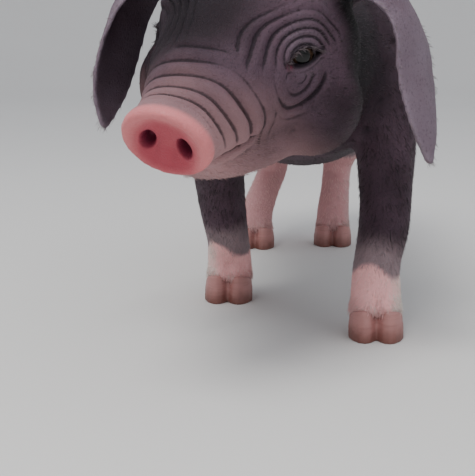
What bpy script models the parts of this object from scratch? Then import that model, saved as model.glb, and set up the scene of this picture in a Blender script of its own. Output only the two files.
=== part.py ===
"""A wrinkled black piglet with drooping ears, standing in mid-stride, as a still museum model.

The flesh is modelled as one body from smooth lofts and then parted by thin cuts into its named
sub-parts. Claws, eyes, ears and the snout disc are solids of their own, set against the flesh.

Frame: +Z up, the piglet faces -Y, its left side is +X, and the floor is z = 0. Sizes below are
in millimetres; MM turns them into metres. A loft's station is (x, y, z, across, above, below),
and on a leg, whose path runs downwards, above and below mean behind and ahead.
"""

import math

import bmesh
import bpy
from mathutils import Matrix, Vector

MM = 0.001
SEAM = 0.3

# Trunk: heights of the back and belly, widths and length.
WITHERS_HEIGHT = 190.0
BACK_HEIGHT = 186.0
BELLY_HEIGHT = 69.0
CHEST_HALF_WIDTH = 51.0
BELLY_HALF_WIDTH = 59.0
CHEST_Y, RUMP_Y = -128.0, 150.0

# The head's own frame: its origin is midway between the eyes, facing -Y, with +X to its left.
HEAD_PLACE = (-27.0, -189.0, 141.0)
HEAD_YAW, HEAD_PITCH, HEAD_ROLL = -19.0, 11.5, 8.0
EYE_RADIUS = 8.2
EYE_PLACE, EYE_TURN = (27.5, 0.5, 0.5), 46.0
LID_OPENING, LID_TILT = (8.4, 6.5, 3.2), 10.0
ORBIT_PLACE, ORBIT_RADIUS = (23.0, 4.5, 0.5), 14.5
BROW_PLACE, BROW_RADII = (19.0, 8.0, 13.0), (19.0, 18.0, 17.0)
JOWL_PLACE, JOWL_RADII = (29.0, 20.0, -25.0), (24.0, 26.0, 24.0)
DISC_PLACE, DISC_TILT, DISC_TWIST = (0.0, -56.0, -22.0), 20.0, 6.0
DISC_HALF_WIDTH, DISC_HALF_HEIGHT, DISC_DEPTH = 19.5, 15.5, 8.0
NOSTRIL_OFFSET, NOSTRIL_RADII = (7.2, 1.0), (3.0, 4.6, 4.0)
EAR_THICKNESS = 3.2

# Feet: where each stands on the floor.
FEET = {
    "fore_left": (38.5, -131.0),
    "fore_right": (-40.0, -62.0),
    "hind_left": (21.0, 103.0),
    "hind_right": (-34.0, 90.0),
}
HOCK_X = {"hind_left": 24.0, "hind_right": -22.0}
CORONET_HEIGHT, CORONET_SLOPE = 11.0, 16.0
CLAW_HALF_WIDTH, CLAW_HALF_LENGTH, CLAW_HALF_HEIGHT, CLAW_SPREAD = 7.7, 11.0, 17.0, 6.0
CLAW_PLACE_Y, CLAW_PLACE_Z, CLEFT = -1.0, 3.0, 1.4
TOE_TAPER, TOE_SLOPE, TOE_SLOPE_TOP = 0.25, 0.25, 8.0
DEWCLAW_RADII, DEWCLAW_SPREAD, DEWCLAW_HEIGHT, DEWCLAW_BACK = (3.0, 3.2, 5.0), 6.5, 23.0, 12.5

# Fineness of the faceted flesh.
VOXEL = 2.0
SMOOTH_PASSES = 7
FLESH_TRIANGLES = 3300
SHARP_ANGLE = 40.0
FLAT_ANGLE = math.radians(1.5)

FLESH = ((0.062, 0.050, 0.056), 0.62)
PALE_SKIN = ((0.62, 0.37, 0.36), 0.55)
DISC_SKIN = ((0.60, 0.27, 0.29), 0.42)
HORN = ((0.50, 0.30, 0.27), 0.38)
EYE_DARK = ((0.012, 0.009, 0.009), 0.06)


def clear_scene():
    for obj in list(bpy.data.objects):
        bpy.data.objects.remove(obj, do_unlink=True)


def new_collection(name):
    made = bpy.data.collections.new(name)
    bpy.context.scene.collection.children.link(made)
    return made


def new_object(name, bm, collection):
    """An object from a bmesh, which is then freed."""
    mesh = bpy.data.meshes.new(name)
    bm.to_mesh(mesh)
    bm.free()
    mesh.shade_smooth()
    mesh.set_sharp_from_angle(angle=math.radians(SHARP_ANGLE))
    obj = bpy.data.objects.new(name, mesh)
    collection.objects.link(obj)
    return obj


def new_cutter(name, bm, collection):
    obj = new_object(name, bm, collection)
    obj.hide_render = True
    obj.display_type = "WIRE"
    return obj


def cut(obj, cutter, solver="EXACT"):
    """Takes the cutter's volume away from the object."""
    modifier = obj.modifiers.new(cutter.name, "BOOLEAN")
    modifier.operation = "DIFFERENCE"
    modifier.solver = solver
    modifier.object = cutter


def paint(obj, finish):
    """Gives the object a material of its own."""
    colour, roughness = finish
    material = bpy.data.materials.new(obj.name)
    material.use_nodes = True
    shader = material.node_tree.nodes["Principled BSDF"]
    shader.inputs["Base Color"].default_value = (*colour, 1.0)
    shader.inputs["Roughness"].default_value = roughness
    shader.inputs["Metallic"].default_value = 0.0
    material.diffuse_color = (*colour, 1.0)
    obj.data.materials.clear()
    obj.data.materials.append(material)


def evaluated_mesh(obj):
    """The object's mesh with its modifiers applied."""
    bpy.context.view_layer.update()
    graph = bpy.context.evaluated_depsgraph_get()
    return bpy.data.meshes.new_from_object(obj.evaluated_get(graph))


def curve_point(points, t):
    """A point on the smooth curve through tuples of equal length, for t from 0 to 1."""
    spans = len(points) - 1
    i = min(int(t * spans), spans - 1)
    u = t * spans - i
    p1, p2 = points[i], points[i + 1]
    p0 = points[i - 1] if i else tuple(2 * a - b for a, b in zip(p1, p2))
    p3 = points[i + 2] if i + 2 <= spans else tuple(2 * b - a for a, b in zip(p1, p2))
    return tuple(
        0.5 * (2 * b + (c - a) * u + (2 * a - 5 * b + 4 * c - d) * u**2 + (3 * b - a - 3 * c + d) * u**3)
        for a, b, c, d in zip(p0, p1, p2, p3)
    )


def oval_ring(bm, across, above, below, matrix, sides):
    """An oval ring in the matrix's XZ plane. Returns its edges."""
    verts = bmesh.ops.create_circle(bm, segments=sides, radius=1.0)["verts"]
    edges = list({edge for vert in verts for edge in vert.link_edges})
    for vert in verts:
        height = vert.co.y * (above if vert.co.y > 0 else below)
        vert.co = matrix @ Vector((vert.co.x * across, 0.0, height))
    return edges


def loft(stations, place=Matrix(), rings=16, sides=20):
    """A closed tube in metres through the stations, each ring square to the path."""
    bm = bmesh.new()
    loops = []
    for i in range(rings + 1):
        t = i / rings
        here = curve_point(stations, t)
        ahead = Vector(curve_point(stations, min(1.0, t + 0.01))[:3])
        behind = Vector(curve_point(stations, max(0.0, t - 0.01))[:3])
        path = (ahead - behind).normalized()
        width = (Vector((1.0, 0.0, 0.0)) - path * path.x).normalized()
        turn = Matrix((width, path, width.cross(path))).transposed().to_4x4()
        at = Matrix.Scale(MM, 4) @ place @ Matrix.Translation(here[:3]) @ turn
        loops.append(oval_ring(bm, *(max(1.0, size) for size in here[3:]), at, sides))
        if i:
            bmesh.ops.bridge_loops(bm, edges=loops[-2] + loops[-1])
    bmesh.ops.edgeloop_fill(bm, edges=loops[0])
    bmesh.ops.edgeloop_fill(bm, edges=loops[-1])
    bmesh.ops.recalc_face_normals(bm, faces=bm.faces)
    return bm


def ball(place, radii, matrix=Matrix(), segments=13, rows=7):
    """An ellipsoid in metres."""
    bm = bmesh.new()
    bmesh.ops.create_uvsphere(bm, u_segments=segments, v_segments=rows, radius=1.0)
    shape = Matrix.Translation(place) @ Matrix.Diagonal((*radii, 1.0))
    bmesh.ops.transform(bm, matrix=Matrix.Scale(MM, 4) @ matrix @ shape, verts=bm.verts)
    return bm


def slab(matrix, width, height, thickness=SEAM):
    """A thin plate in metres, square to the matrix's Y axis."""
    bm = bmesh.new()
    bmesh.ops.create_cube(bm, size=1.0)
    shape = Matrix.Diagonal((width, thickness, height, 1.0))
    bmesh.ops.transform(bm, matrix=Matrix.Scale(MM, 4) @ matrix @ shape, verts=bm.verts)
    return bm


def joined(parts):
    """Several bmeshes in one, still as separate bodies."""
    whole = bmesh.new()
    for part in parts:
        mesh = bpy.data.meshes.new("part")
        part.to_mesh(mesh)
        part.free()
        whole.from_mesh(mesh)
        bpy.data.meshes.remove(mesh)
    return whole


def mirrored(point, side):
    return (point[0] * side, *point[1:])


def head_frame():
    yaw = Matrix.Rotation(math.radians(HEAD_YAW), 4, "Z")
    pitch = Matrix.Rotation(math.radians(HEAD_PITCH), 4, "X")
    roll = Matrix.Rotation(math.radians(HEAD_ROLL), 4, "Y")
    return Matrix.Translation(HEAD_PLACE) @ yaw @ pitch @ roll


HEAD = head_frame()


# ---- Flesh: overlapping lofts that are united before they are parted. ----


def trunk_lofts():
    """Chest, barrel and rump, from front to back."""
    widest = 127.0
    stations = [
        (0, CHEST_Y, widest + 8, 33, 38, 38),
        (0, -100, widest + 4, 0.92 * CHEST_HALF_WIDTH, WITHERS_HEIGHT - widest - 5, 47),
        (0, -60, widest, CHEST_HALF_WIDTH, WITHERS_HEIGHT - widest - 1, 50),
        (0, -5, widest - 6, 0.97 * BELLY_HALF_WIDTH, BACK_HEIGHT - widest + 5, widest - 6 - BELLY_HEIGHT),
        (0, 42, widest - 5, BELLY_HALF_WIDTH, BACK_HEIGHT - widest + 8, widest - 5 - BELLY_HEIGHT),
        (0, 85, widest + 4, 0.93 * BELLY_HALF_WIDTH, BACK_HEIGHT - widest, 46),
        (0, 115, widest + 10, 0.75 * BELLY_HALF_WIDTH, 47, 37),
        (0, RUMP_Y - 12, widest + 15, 29, 30, 25),
        (0, RUMP_Y, widest + 17, 10, 12, 10),
    ]
    return [loft(stations, rings=24)]


def neck_lofts():
    """The neck, from inside the back of the head to inside the shoulders."""
    nape = HEAD @ Vector((0.0, 26.0, -8.0))
    stations = [
        (*nape, 42, 37, 41),
        (-13, -140, 133, 42, 42, 42),
        (-5, -112, 131, 44, 52, 43),
        (0, -86, 130, 45, 56, 42),
    ]
    return [loft(stations, rings=10)]


def head_lofts():
    """Skull and muzzle, jaw, brows and jowls, in the head's own frame."""
    skull = [
        (0, -62, -22, 18.0, 14.5, 14.0),
        (0, -46, -21, 20.5, 17.5, 17.5),
        (0, -31, -18, 26.0, 21.0, 22.5),
        (0, -15, -14, 32.0, 27.0, 29.0),
        (0, 0, -10, 37.5, 36.0, 36.0),
        (0, 18, -8, 45.0, 43.0, 41.0),
        (0, 40, -6, 45.0, 41.0, 41.0),
        (0, 58, -6, 34.0, 31.0, 33.0),
    ]
    jaw = [
        (0, -50, -33, 10.0, 6.0, 5.0),
        (0, -38, -36, 16.0, 9.0, 10.0),
        (0, -22, -38, 24.0, 12.0, 13.0),
        (0, 0, -38, 32.0, 14.0, 14.0),
        (0, 25, -34, 36.0, 16.0, 16.0),
    ]
    lumps = [loft(skull, HEAD, rings=20), loft(jaw, HEAD, rings=12)]
    for side in (1, -1):
        lumps.append(ball(mirrored(ORBIT_PLACE, side), (ORBIT_RADIUS,) * 3, HEAD))
        lumps.append(ball(mirrored(JOWL_PLACE, side), JOWL_RADII, HEAD))
        lumps.append(ball(mirrored(BROW_PLACE, side), BROW_RADII, HEAD))
    return lumps


def fore_leg_lofts(side, foot, reach):
    """Shoulder to coronet; reach says how far the elbow and knee lean towards the foot."""
    x, y = foot
    lean = [
        (side * 32, -82, 158, 15, 26, 24),
        (side * 41, -88, 128, 19, 30, 27),
        (side * 43, -97 + 0.12 * reach, 92, 16, 21, 19),
        (side * 43, -97 + 0.40 * reach, 70, 14.0, 14.5, 14.5),
        (side * 42, -97 + 0.66 * reach, 52, 13.2, 13.8, 13.4),
        (x, -97 + 0.84 * reach, 36, 12.2, 12.6, 12.2),
        (x, y + 3.5, 21, 13.2, 13.6, 13.0),
        (x, y, 6, 12.6, 12.5, 12.5),
    ]
    return [loft(lean, rings=22)]


def hind_leg_lofts(side, foot, hock):
    """Hip to coronet, with the stifle ahead and the hock behind."""
    x, y = foot
    lean = [
        (side * 25, 94, 156, 18, 32, 32),
        (side * 34, 89, 122, 25, 38, 36),
        (side * 34, 88, 94, 19, 28, 27),
        (gaskin_x(side, hock), 100, 75, 13.5, 15.5, 16),
        (hock, 115, 58, 11.2, 13.5, 12),
        (0.5 * (x + hock), 0.5 * (y + 118), 40, 10.8, 11.2, 11.0),
        (x, y + 4, 22, 12.2, 12.4, 12.0),
        (x, y, 6, 12.0, 12.0, 12.0),
    ]
    return [loft(lean, rings=24)]


def gaskin_x(side, hock):
    return 0.5 * (hock + side * 34)


def tail_lofts():
    """A straight hanging tail."""
    stations = [
        (0, RUMP_Y - 12, 161, 6.5, 6.5, 6.5),
        (0, RUMP_Y + 4, 157, 5.0, 5.0, 5.0),
        (0, RUMP_Y + 13, 138, 3.8, 3.8, 3.8),
        (1, RUMP_Y + 15, 114, 3.0, 3.0, 3.0),
        (2, RUMP_Y + 13, 93, 2.0, 2.0, 2.0),
    ]
    return [loft(stations, rings=14)]


def whole_flesh(collection):
    """Everything but the claws, eyes, ears and disc, as one smooth body."""
    lofts = trunk_lofts() + neck_lofts() + head_lofts() + tail_lofts()
    for name, foot in FEET.items():
        side = 1 if name.endswith("left") else -1
        if name.startswith("fore"):
            lofts += fore_leg_lofts(side, foot, foot[1] + 97)
        else:
            lofts += hind_leg_lofts(side, foot, HOCK_X[name])
    flesh = new_object("flesh", joined(lofts), collection)
    remesh = flesh.modifiers.new("unite", "REMESH")
    remesh.mode = "VOXEL"
    remesh.voxel_size = VOXEL * MM
    smooth = flesh.modifiers.new("soften", "SMOOTH")
    smooth.factor = 0.5
    smooth.iterations = SMOOTH_PASSES
    fine = evaluated_mesh(flesh)
    triangles = sum(len(face.vertices) - 2 for face in fine.polygons)
    flesh.modifiers.clear()
    flesh.data = fine
    fewer = flesh.modifiers.new("fewer", "DECIMATE")
    fewer.ratio = FLESH_TRIANGLES / triangles
    return flesh


# ---- Cuts that part the flesh. ----

# Flat seams: middle, yaw, backward lean of the top as a negative angle, width and height.
PLANE_SEAMS = {
    "seam_nape": ((-10, -139, 134), -17, -5, 124, 120),
    "seam_shoulder": ((-3, -113, 145), 0, -14, 128, 126),
    "seam_dock": ((0, RUMP_Y + 9, 149), 0, -33, 20, 20),
}


def mouth_cut():
    """A bent sheet along the closed mouth and down behind the chin."""
    line = [(-75, -35), (-50, -33), (-36, -30.5), (-24, -26.5), (-15, -31), (-7, -70)]
    bm = bmesh.new()
    verts = [bm.verts.new(HEAD @ Vector((-60.0, y, z)) * MM) for y, z in line]
    edges = [bm.edges.new(pair) for pair in zip(verts, verts[1:])]
    swept = bmesh.ops.extrude_edge_only(bm, edges=edges)["geom"]
    across = HEAD.to_3x3() @ Vector((120.0 * MM, 0.0, 0.0))
    moved = [item for item in swept if isinstance(item, bmesh.types.BMVert)]
    bmesh.ops.translate(bm, vec=across, verts=moved)
    bmesh.ops.recalc_face_normals(bm, faces=bm.faces)
    return bm


def thin_shell(obj):
    """Turns a surface into a wall as thick as a seam."""
    wall = obj.modifiers.new("wall", "SOLIDIFY")
    wall.thickness = SEAM * MM
    wall.offset = 0.0


def limb_seam(name):
    """The closed surface that parts a leg's upper end from the trunk and from its lower end."""
    side = 1 if name.endswith("left") else -1
    if name.startswith("fore"):
        reach = FEET[name][1] + 97
        stations = [
            (side * 53, -88, 160, 9, 9, 9),
            (side * 52, -89, 148, 22, 21, 21),
            (side * 49, -91, 120, 26, 25, 24),
            (side * 45, -94 + 0.1 * reach, 92, 24, 26, 25),
            (side * 43, -96 + 0.25 * reach, 74, 19, 20, 20),
            (side * 43, -96 + 0.3 * reach, 65, 8, 8, 8),
        ]
    else:
        low = gaskin_x(side, HOCK_X[name])
        stations = [
            (side * 50, 92, 156, 9, 9, 9),
            (side * 48, 92, 140, 27, 33, 33),
            (side * 42, 90, 112, 33, 37, 36),
            (low + side * 4, 91, 90, 25, 31, 29),
            (low, 98, 72, 18, 21, 21),
            (low, 101, 63, 8, 8, 8),
        ]
    surface = loft(stations, rings=7, sides=10)
    bmesh.ops.triangulate(surface, faces=surface.faces)
    return surface


def trim_flesh(flesh, cutters):
    """Makes room for the claws, the dewclaws, the snout disc and the eyes."""
    for name, (x, y) in FEET.items():
        below = coronet_plane(x, y) @ Matrix.Translation((0, -15, 0))
        cut(flesh, new_cutter("below_" + name, slab(below, 44, 44, 30), cutters))
        for hand in (1, -1):
            cut(flesh, new_cutter(f"dewsocket_{name}", dewclaw(name, hand, SEAM), cutters))
    front = disc_frame() @ Matrix.Translation((0, -20 + SEAM, 0))
    cut(flesh, new_cutter("before_muzzle", slab(front, 60, 60, 40), cutters))
    for side in (1, -1):
        socket = ball((0, 0, 0), (EYE_RADIUS + SEAM,) * 3, eye_frame(side))
        cut(flesh, new_cutter("eye_socket", socket, cutters))
        lids = Matrix.Rotation(math.radians(-side * LID_TILT), 4, "Y")
        slit = ball((0, -EYE_RADIUS - 1, 0), LID_OPENING, eye_frame(side) @ lids)
        cut(flesh, new_cutter("lid_opening", slit, cutters))


def part_flesh(flesh, cutters):
    """Cuts the seams that divide the flesh into its named parts."""
    for name, (place, yaw, lean, width, height) in PLANE_SEAMS.items():
        turn = Matrix.Rotation(math.radians(yaw), 4, "Z") @ Matrix.Rotation(math.radians(lean), 4, "X")
        cut(flesh, new_cutter(name, slab(Matrix.Translation(place) @ turn, width, height), cutters))
    mouth = new_cutter("seam_mouth", mouth_cut(), cutters)
    thin_shell(mouth)
    cut(flesh, mouth)
    for name in FEET:
        limb = new_cutter("seam_" + name, limb_seam(name), cutters)
        thin_shell(limb)
        # EXACT drops the trunk where these thin closed shells cross it.
        cut(flesh, limb, solver="MANIFOLD")


def coronet_plane(x, y):
    """A frame whose -Y side is the claws' side of the coronet, sloping up towards the toe."""
    slope = Matrix.Rotation(math.radians(-CORONET_SLOPE), 4, "X")
    return Matrix.Translation((x, y, CORONET_HEIGHT)) @ slope @ Matrix.Rotation(math.pi / 2, 4, "X")


def eye_frame(side):
    """The middle of an eye, with -Y the way it looks."""
    turn = Matrix.Rotation(math.radians(side * EYE_TURN), 4, "Z")
    return HEAD @ Matrix.Translation(mirrored(EYE_PLACE, side)) @ turn


def disc_frame():
    """The back face of the snout disc, facing the head's -Y and a little down."""
    tilt = Matrix.Rotation(math.radians(DISC_TILT), 4, "X")
    twist = Matrix.Rotation(math.radians(DISC_TWIST), 4, "Y")
    return HEAD @ Matrix.Translation(DISC_PLACE) @ tilt @ twist


FLESH_ANCHORS = {
    "head": HEAD @ Vector((0, 10, -5)),
    "lower_jaw": HEAD @ Vector((0, -25, -38)),
    "neck": Vector((-6, -122, 135)),
    "trunk": Vector((0, 10, 130)),
    "tail": Vector((1, 158, 120)),
    "fore_left_upper": Vector((45, -98, 115)),
    "fore_left_lower": Vector((41, -122, 45)),
    "fore_right_upper": Vector((-45, -95, 115)),
    "fore_right_lower": Vector((-41, -72, 45)),
    "hind_left_upper": Vector((40, 90, 112)),
    "hind_left_lower": Vector((25, 108, 45)),
    "hind_right_upper": Vector((-40, 90, 112)),
    "hind_right_lower": Vector((-29, 106, 45)),
}


def islands(mesh):
    """The mesh's separate bodies, each as a bmesh of its own."""
    bm = bmesh.new()
    bm.from_mesh(mesh)
    waiting = set(bm.verts)
    bodies = []
    while waiting:
        front = [waiting.pop()]
        body = set(front)
        while front:
            vert = front.pop()
            for edge in vert.link_edges:
                other = edge.other_vert(vert)
                if other in waiting:
                    waiting.remove(other)
                    body.add(other)
                    front.append(other)
        alone = bm.copy()
        alone.verts.ensure_lookup_table()
        others = [alone.verts[vert.index] for vert in bm.verts if vert not in body]
        bmesh.ops.delete(alone, geom=others, context="VERTS")
        bodies.append(alone)
    bm.free()
    return bodies


def merge_flat_faces(bm):
    """Joins the coplanar scraps that the cuts leave, and triangulates what remains."""
    bmesh.ops.remove_doubles(bm, verts=bm.verts, dist=1e-6)
    bmesh.ops.dissolve_limit(bm, angle_limit=FLAT_ANGLE, verts=bm.verts, edges=bm.edges)
    bmesh.ops.triangulate(bm, faces=bm.faces)


def named_flesh(flesh, collection):
    """Makes each parted body an object, named by the anchor that lies nearest to its middle."""
    bodies = islands(evaluated_mesh(flesh))
    bpy.data.objects.remove(flesh)
    left = dict(FLESH_ANCHORS)
    for body in sorted(bodies, key=lambda bm: -len(bm.verts)):
        middle = sum((vert.co for vert in body.verts), Vector()) / len(body.verts) / MM
        if not left:
            raise ValueError(f"stray body of {len(body.verts)} points at {tuple(middle)}")
        name = min(left, key=lambda key: (left[key] - middle).length)
        del left[name]
        merge_flat_faces(body)
        paint(new_object(name, body, collection), PALE_SKIN if name.endswith("lower") else FLESH)
    if left:
        raise ValueError(f"no body for {sorted(left)}")


# ---- Pieces set against the flesh. ----


def make_eye(name, side, collection):
    eye = ball((0, 0, 0), (EYE_RADIUS,) * 3, eye_frame(side))
    paint(new_object(name, eye, collection), EYE_DARK)


def make_disc(collection, cutters):
    """The oval snout disc, with a rolled rim and two blind nostrils."""
    bm = bmesh.new()
    bmesh.ops.create_cone(bm, cap_ends=True, segments=22, radius1=1.0, radius2=1.0, depth=1.0)
    shape = Matrix.Rotation(math.pi / 2, 4, "X") @ Matrix.Diagonal(
        (DISC_HALF_WIDTH, DISC_HALF_HEIGHT, DISC_DEPTH, 1.0)
    )
    place = disc_frame() @ Matrix.Translation((0, -DISC_DEPTH / 2, 0))
    bmesh.ops.transform(bm, matrix=Matrix.Scale(MM, 4) @ place @ shape, verts=bm.verts)
    disc = new_object("snout_disc", bm, collection)
    rim = disc.modifiers.new("rim", "BEVEL")
    rim.width = 2.4 * MM
    rim.segments = 2
    for side, name in ((1, "left"), (-1, "right")):
        hole = ball(
            (side * NOSTRIL_OFFSET[0], -DISC_DEPTH, NOSTRIL_OFFSET[1]), NOSTRIL_RADII, disc_frame(), 10, 6
        )
        cut(disc, new_cutter("nostril_" + name, hole, cutters))
    paint(disc, DISC_SKIN)


EAR_EDGES = {
    "ear_left": (
        [(31, 25, 22), (50, 20, 22), (62, 19, 12), (66, 17, -6), (75, 15, -27), (83, 19, -43)],
        [(34, 38, 22), (53, 38, 27), (67, 36, 12), (74, 34, -10), (81, 30, -30), (84, 21, -44)],
        [(36, 52, 14), (52, 56, 17), (67, 55, 3), (74, 51, -14), (80, 41, -33), (84, 23, -45)],
    ),
    "ear_right": (
        [(-31, 25, 22), (-50, 22, 20), (-61, 12, 6), (-66, 4, -11), (-66, -3, -28), (-60, -6, -44)],
        [(-34, 38, 22), (-54, 38, 25), (-69, 30, 9), (-71, 21, -12), (-67, 10, -33), (-60, -3, -46)],
        [(-36, 50, 14), (-52, 56, 15), (-64, 52, -2), (-65, 42, -19), (-63, 24, -38), (-60, 0, -47)],
    ),
}


def make_ear(name, head, collection):
    """A curved leaf between three guide curves from root to tip, trimmed against the head."""
    guides = EAR_EDGES[name]
    along, across = 11, 6
    bm = bmesh.new()
    bmesh.ops.create_grid(bm, x_segments=across, y_segments=along, size=1.0)
    for vert in bm.verts:
        u, v = (vert.co.y + 1) / 2, (vert.co.x + 1) / 2
        rail = [curve_point(guide, u) for guide in guides]
        vert.co = HEAD @ Vector(curve_point(rail, v)) * MM
    bmesh.ops.recalc_face_normals(bm, faces=bm.faces)
    ear = new_object(name, bm, collection)
    wall = ear.modifiers.new("wall", "SOLIDIFY")
    wall.thickness = EAR_THICKNESS * MM
    wall.offset = 0.0
    cut(ear, head)
    paint(ear, FLESH)


def head_to_cut_ears(cutters):
    """The head, a seam's width larger all round."""
    swollen = bpy.data.objects.new("ear_root", bpy.data.objects["head"].data.copy())
    cutters.objects.link(swollen)
    swollen.hide_render = True
    swollen.display_type = "WIRE"
    swell = swollen.modifiers.new("swell", "DISPLACE")
    swell.mid_level = 0.0
    swell.strength = SEAM * MM
    return swollen


def make_claws(name, collection):
    """Two claws with flat soles, on either side of a narrow cleft."""
    x, y = FEET[name]
    top = coronet_plane(x, y)
    normal = top.to_3x3() @ Vector((0, 1, 0))
    for side, word in ((1, "outer"), (-1, "inner")):
        hand = side if name.endswith("left") else -side
        bm = ball((0, 0, 0), (CLAW_HALF_WIDTH, CLAW_HALF_LENGTH, CLAW_HALF_HEIGHT), segments=12)
        for vert in bm.verts:
            toe = max(0.0, -vert.co.y / (CLAW_HALF_LENGTH * MM))
            vert.co.x *= 1 - TOE_TAPER * toe
            vert.co.y -= TOE_SLOPE * max(0.0, TOE_SLOPE_TOP * MM - vert.co.z)
        spot = Vector((x + hand * CLAW_SPREAD, y + CLAW_PLACE_Y, CLAW_PLACE_Z)) * MM
        bmesh.ops.translate(bm, vec=spot, verts=bm.verts)
        planes = (
            (Vector((0, 0, 0)), Vector((0, 0, -1))),
            (top.translation - normal * SEAM, normal),
            (Vector((x + hand * CLEFT / 2, 0, 0)), Vector((-hand, 0, 0))),
        )
        for point, outward in planes:
            bmesh.ops.bisect_plane(
                bm, geom=bm.verts[:] + bm.edges[:] + bm.faces[:],
                plane_co=point * MM, plane_no=outward, clear_outer=True
            )
            bmesh.ops.holes_fill(bm, edges=[edge for edge in bm.edges if edge.is_boundary])
        paint(new_object(f"{name}_claw_{word}", bm, collection), HORN)


def dewclaw(name, hand, growth=0.0):
    x, y = FEET[name]
    radii = tuple(radius + growth for radius in DEWCLAW_RADII)
    place = (x + hand * DEWCLAW_SPREAD, y + DEWCLAW_BACK, DEWCLAW_HEIGHT)
    return ball((0, 0, 0), radii, Matrix.Translation(place) @ Matrix.Rotation(0.5, 4, "X"), 7, 4)


def make_dewclaws(name, collection):
    for side, word in ((1, "outer"), (-1, "inner")):
        hand = side if name.endswith("left") else -side
        paint(new_object(f"{name}_dewclaw_{word}", dewclaw(name, hand), collection), HORN)


def stand_on_origin(piglet, cutters):
    """Moves everything so that the origin is under the middle of the piglet's box."""
    corners = []
    for obj in piglet.objects:
        mesh = evaluated_mesh(obj)
        corners += [vert.co.copy() for vert in mesh.vertices]
        bpy.data.meshes.remove(mesh)
    middle = [0.5 * (min(c[i] for c in corners) + max(c[i] for c in corners)) for i in range(2)]
    for obj in list(piglet.objects) + list(cutters.objects):
        obj.location = (-middle[0], -middle[1], 0.0)


def main():
    clear_scene()
    piglet = new_collection("piglet")
    cutters = new_collection("cutters")
    flesh = whole_flesh(piglet)
    trim_flesh(flesh, cutters)
    part_flesh(flesh, cutters)
    named_flesh(flesh, piglet)
    make_disc(piglet, cutters)
    head = head_to_cut_ears(cutters)
    for name in EAR_EDGES:
        make_ear(name, head, piglet)
    for side, word in ((1, "left"), (-1, "right")):
        make_eye("eye_" + word, side, piglet)
    for name in FEET:
        make_claws(name, piglet)
        make_dewclaws(name, piglet)
    stand_on_origin(piglet, cutters)


main()
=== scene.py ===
"""The looks of a still, life-size piglet: wrinkled dark skin, short coat, claws and eyes.

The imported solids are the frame. One skin is grown round all the flesh and sunk under it by the
coat's depth, then sculpted with folds, lids, lips and nostrils. Sizes are in metres unless a
name or comment says millimetres; MM turns those into metres.
"""

import math

import bmesh
import bpy
import numpy as np
from mathutils import Matrix, Vector
from mathutils.bvhtree import BVHTree


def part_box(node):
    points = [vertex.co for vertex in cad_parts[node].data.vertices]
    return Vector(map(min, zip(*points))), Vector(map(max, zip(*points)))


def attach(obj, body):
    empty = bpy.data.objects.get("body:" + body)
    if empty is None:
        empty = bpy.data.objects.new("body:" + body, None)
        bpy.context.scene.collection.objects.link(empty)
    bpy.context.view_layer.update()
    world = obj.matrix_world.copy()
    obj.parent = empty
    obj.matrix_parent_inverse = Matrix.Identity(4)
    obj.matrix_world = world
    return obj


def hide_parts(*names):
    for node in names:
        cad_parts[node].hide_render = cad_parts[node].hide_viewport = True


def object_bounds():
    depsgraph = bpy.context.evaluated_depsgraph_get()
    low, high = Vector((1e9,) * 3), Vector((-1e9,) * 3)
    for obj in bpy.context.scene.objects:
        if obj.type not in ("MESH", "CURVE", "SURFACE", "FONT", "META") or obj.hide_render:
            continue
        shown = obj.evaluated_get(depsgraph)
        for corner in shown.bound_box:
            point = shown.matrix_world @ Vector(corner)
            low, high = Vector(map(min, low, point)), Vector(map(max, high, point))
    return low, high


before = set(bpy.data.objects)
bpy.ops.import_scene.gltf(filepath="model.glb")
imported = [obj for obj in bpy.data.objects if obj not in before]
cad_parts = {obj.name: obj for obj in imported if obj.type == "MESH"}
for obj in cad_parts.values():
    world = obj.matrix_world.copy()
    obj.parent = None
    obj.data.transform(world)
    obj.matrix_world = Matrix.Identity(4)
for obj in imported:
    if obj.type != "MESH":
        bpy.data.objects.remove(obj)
CAD_LOW, CAD_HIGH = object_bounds()

bl_info = {
    "name": "Wrinkled Piglet",
    "version": (1, 0, 0),
    "blender": (4, 5, 0),
    "location": "3D View > Sidebar > Piglet",
    "description": "Skin, coat, claws, eyes and studio for a still piglet model",
    "category": "Object",
}

MM = 0.001
# Points closer than SAME_PLACE are one point. Nothing is divided by less than TINY. FAR stands for
# any place away from the lids and the nostrils.
SAME_PLACE = 1e-6
TINY = 1e-6
FAR = 20.0

# A lock on the flanks, in millimetres.
FLANK_LENGTH, FLANK_WIDTH = 5.5, 0.4


def colour_setting(name, description, default):
    """A colour that a user would change."""
    return bpy.props.FloatVectorProperty(
        name=name, description=description, default=default, subtype="COLOR", size=3, min=0.0, max=1.0
    )


def share_setting(name, description, default=1.0):
    """A factor against the usual amount."""
    return bpy.props.FloatProperty(
        name=name, description=description, default=default, min=0.0, soft_max=2.0, subtype="FACTOR"
    )


def length_setting(name, description, default):
    """A length in metres."""
    return bpy.props.FloatProperty(
        name=name, description=description, default=default, min=0.0, subtype="DISTANCE", unit="LENGTH"
    )


def power_setting(name, description, default):
    """A lamp's power in watts."""
    return bpy.props.FloatProperty(
        name=name, description=description, default=default, min=0.0, subtype="POWER", unit="POWER"
    )


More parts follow.
